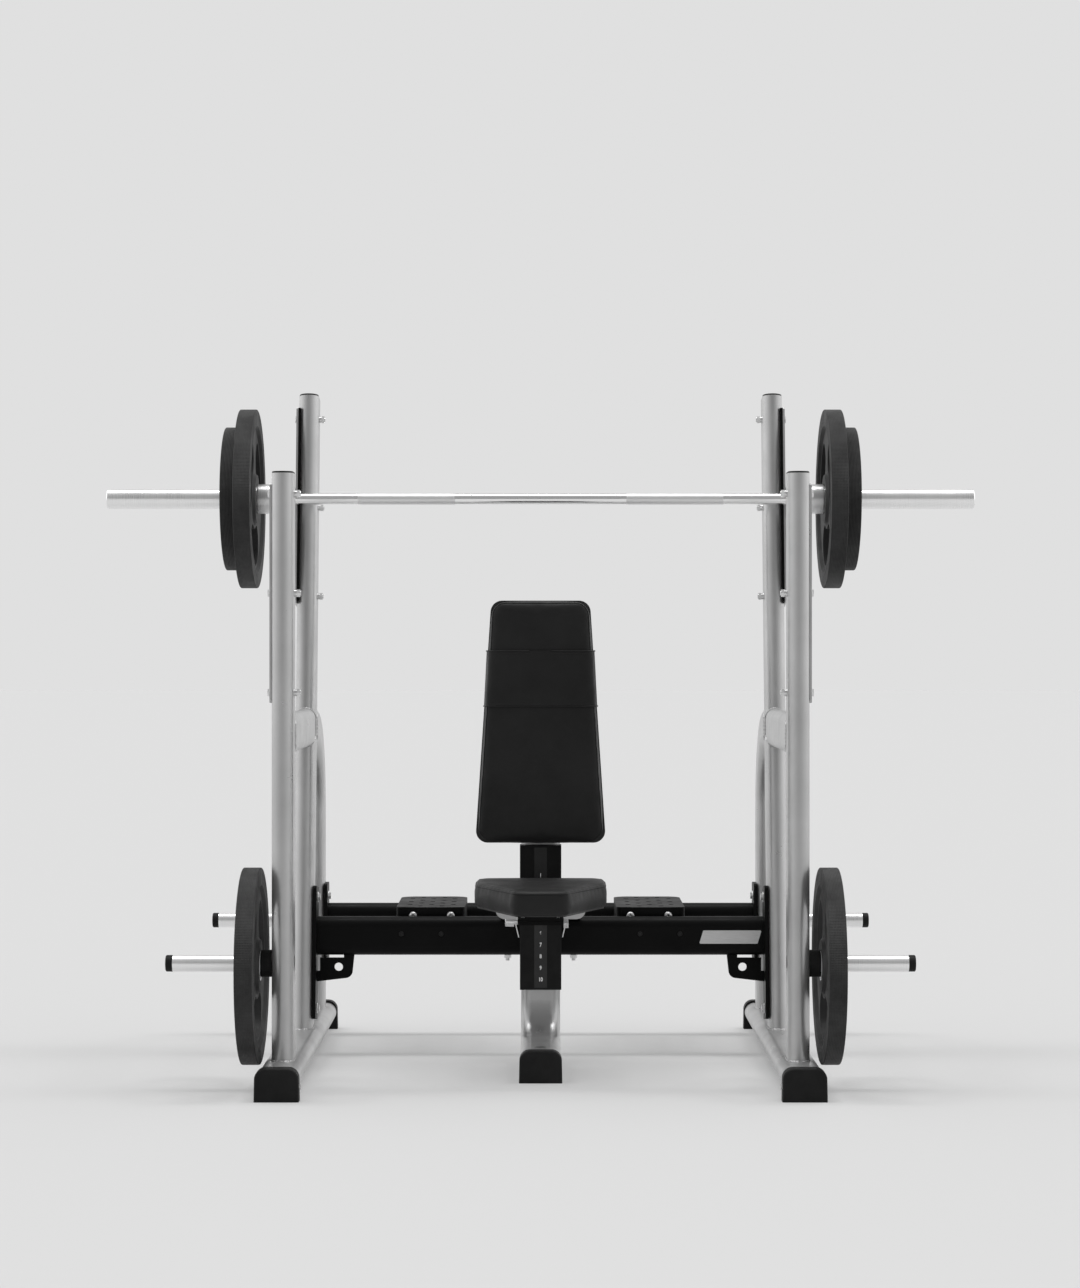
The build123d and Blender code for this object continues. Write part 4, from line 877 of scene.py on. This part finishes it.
def sleeve_band():
    """The cover band: the pad's own skin between two levels, lifted a little and given a thickness."""
    mesh = back.data.copy()
    mesh.name = "cover_band"
    form = bmesh.new()
    form.from_mesh(mesh)
    for level, way in ((band_low[2], -1), (band_high[2], 1)):
        geometry = form.verts[:] + form.edges[:] + form.faces[:]
        bmesh.ops.bisect_plane(
            form, geom=geometry, plane_co=(0, 0, level), plane_no=(0, 0, way), clear_outer=True
        )
    rear = [
        face
        for face in form.faces
        if face.normal[1] > 0.9 and face.calc_center_median()[1] > back_high[1] - BACK_HELD
    ]
    bmesh.ops.delete(form, geom=rear, context="FACES")
    form.normal_update()
    lifted = []
    for vertex in form.verts:
        share = (vertex.co[2] - band_low[2]) / (band_high[2] - band_low[2])
        lift = BAND_LIFT_LOW + BAND_LIFT_RISE * min(1.0, max(0.0, share))
        lifted.append((vertex, vertex.co + vertex.normal * lift))
    for vertex, place in lifted:
        vertex.co = (place[0], place[1], min(band_high[2], max(band_low[2], place[2])))
    form.to_mesh(mesh)
    form.free()
    piece = keep("cover_band", mesh, looks["cushion"], "frame")
    shell = piece.modifiers.new("shell", "SOLIDIFY")
    shell.thickness = BAND_SHELL
    shell.offset = 1.0
    shell.use_even_offset = True
    edge = piece.modifiers.new("edge", "BEVEL")
    edge.width = 0.0007
    edge.segments = 2
    edge.limit_method = "ANGLE"
    edge.angle_limit = math.radians(50)
    apply_modifiers(piece)
    return piece


band = sleeve_band()
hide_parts("back_pad_band")
band_tree = surface_tree(band)


def half_width(level):
    """Half the back pad's width at a height."""
    slope = (bottom_half - top_half) / (back_high[2] - back_low[2])
    return bottom_half - slope * (level - back_low[2])


for name, level in (("band_hem_low", band_low[2] + HEM_IN), ("band_hem_high", band_high[2] - HEM_IN)):
    half = half_width(level)
    line = [
        Vector((half + 0.004, back_high[1] - 0.02, level)),
        Vector((half + 0.004, back_low[1] + 0.012, level)),
        Vector((half - 0.008, back_low[1] - 0.004, level)),
        Vector((-half + 0.008, back_low[1] - 0.004, level)),
        Vector((-half - 0.004, back_low[1] + 0.012, level)),
        Vector((-half - 0.004, back_high[1] - 0.02, level)),
    ]
    seam(name, line, band_tree, "frame", HEM_R, closed=False)
for name, level in (
    ("band_stitches_low", band_low[2] + STITCH_IN),
    ("band_stitches_high", band_high[2] - STITCH_IN),
):
    half = half_width(level)
    line = [Vector((half * share / 20, back_low[1] - 0.004, level)) for share in range(-19, 20)]
    stitches(name, line, band_tree, "frame", closed=False)

# ---------------------------------------------------------------- stage, light and camera

BACKDROP = 0.745
FLOOR_TONE = 0.35
FLOOR_GLOW = 0.248
SIZE = 60.0
SUN_STRENGTH = 0.34
SUN_ANGLE = 11
SUN_LEAN = -3
SUN_TILTS = (-30, -18, -6, 6, 18, 30)
EYE = (-0.0015, -7.4245, 1.0215)


def studio_floor():
    """A pale matt floor that reads as the backdrop's tone where nothing shades it."""
    nodes = Nodes("studio_floor")
    nodes.shader.inputs["Base Color"].default_value = (*grey(FLOOR_TONE), 1.0)
    nodes.shader.inputs["Roughness"].default_value = 0.9
    nodes.shader.inputs["Specular IOR Level"].default_value = 0.0
    nodes.shader.inputs["Emission Color"].default_value = (1.0, 1.0, 1.0, 1.0)
    nodes.shader.inputs["Emission Strength"].default_value = FLOOR_GLOW
    return nodes.material


floor_mesh = mesh_of(
    "floor", [(-SIZE, -SIZE, 0), (SIZE, -SIZE, 0), (SIZE, SIZE, 0), (-SIZE, SIZE, 0)], [(0, 1, 2, 3)]
)
floor = bpy.data.objects.new("floor", floor_mesh)
bpy.context.scene.collection.objects.link(floor)
floor_mesh.materials.append(studio_floor())
floor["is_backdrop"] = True

# The backdrop is even where it is seen, and brighter at the sides and the rear where it lights.
world = bpy.data.worlds.new("studio")
bpy.context.scene.world = world
world.use_nodes = True
tree = world.node_tree
tree.nodes.clear()
output = tree.nodes.new("ShaderNodeOutputWorld")
mix = tree.nodes.new("ShaderNodeMixShader")
seen = tree.nodes.new("ShaderNodeBackground")
lit = tree.nodes.new("ShaderNodeBackground")
rays = tree.nodes.new("ShaderNodeLightPath")
place = tree.nodes.new("ShaderNodeTexCoord")
split = tree.nodes.new("ShaderNodeSeparateXYZ")
ramp_x = tree.nodes.new("ShaderNodeMapRange")
ramp_y = tree.nodes.new("ShaderNodeMapRange")
absolute = tree.nodes.new("ShaderNodeMath")
product = tree.nodes.new("ShaderNodeMath")
absolute.operation = "ABSOLUTE"
product.operation = "MULTIPLY"
seen.inputs["Color"].default_value = (*grey(BACKDROP), 1.0)
lit.inputs["Color"].default_value = (1.0, 1.0, 1.0, 1.0)
link = tree.links.new
link(place.outputs["Generated"], split.inputs["Vector"])
link(split.outputs["X"], absolute.inputs[0])
link(absolute.outputs["Value"], ramp_x.inputs["Value"])
link(split.outputs["Y"], ramp_y.inputs["Value"])
for node, numbers in ((ramp_x, (0.0, 0.9, 0.55, 1.4)), (ramp_y, (-1.0, 0.1, 0.42, 1.0))):
    for socket, number in zip(("From Min", "From Max", "To Min", "To Max"), numbers):
        node.inputs[socket].default_value = number
link(ramp_x.outputs["Result"], product.inputs[0])
link(ramp_y.outputs["Result"], product.inputs[1])
link(product.outputs["Value"], lit.inputs["Strength"])
link(rays.outputs["Is Camera Ray"], mix.inputs["Fac"])
link(lit.outputs["Background"], mix.inputs[1])
link(seen.outputs["Background"], mix.inputs[2])
link(mix.outputs["Shader"], output.inputs["Surface"])

for index, tilt in enumerate(SUN_TILTS):
    data = bpy.data.lights.new(f"strip_{index}", "SUN")
    data.energy = SUN_STRENGTH
    data.angle = math.radians(SUN_ANGLE)
    lamp = bpy.data.objects.new(f"strip_{index}", data)
    lamp.rotation_euler = (math.radians(SUN_LEAN), math.radians(tilt), 0)
    bpy.context.scene.collection.objects.link(lamp)

bpy.context.scene.view_settings.view_transform = "Standard"

camera_data = bpy.data.cameras.new("camera")
camera_data.sensor_fit = "VERTICAL"
camera_data.sensor_height = 36.0
camera_data.lens = 85.0
camera_data.clip_end = 200.0
camera = bpy.data.objects.new("camera", camera_data)
camera.location = EYE
camera.rotation_euler = (math.radians(90), 0, 0)
bpy.context.scene.collection.objects.link(camera)
bpy.context.scene.camera = camera

bpy.context.view_layer.update()
low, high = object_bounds()
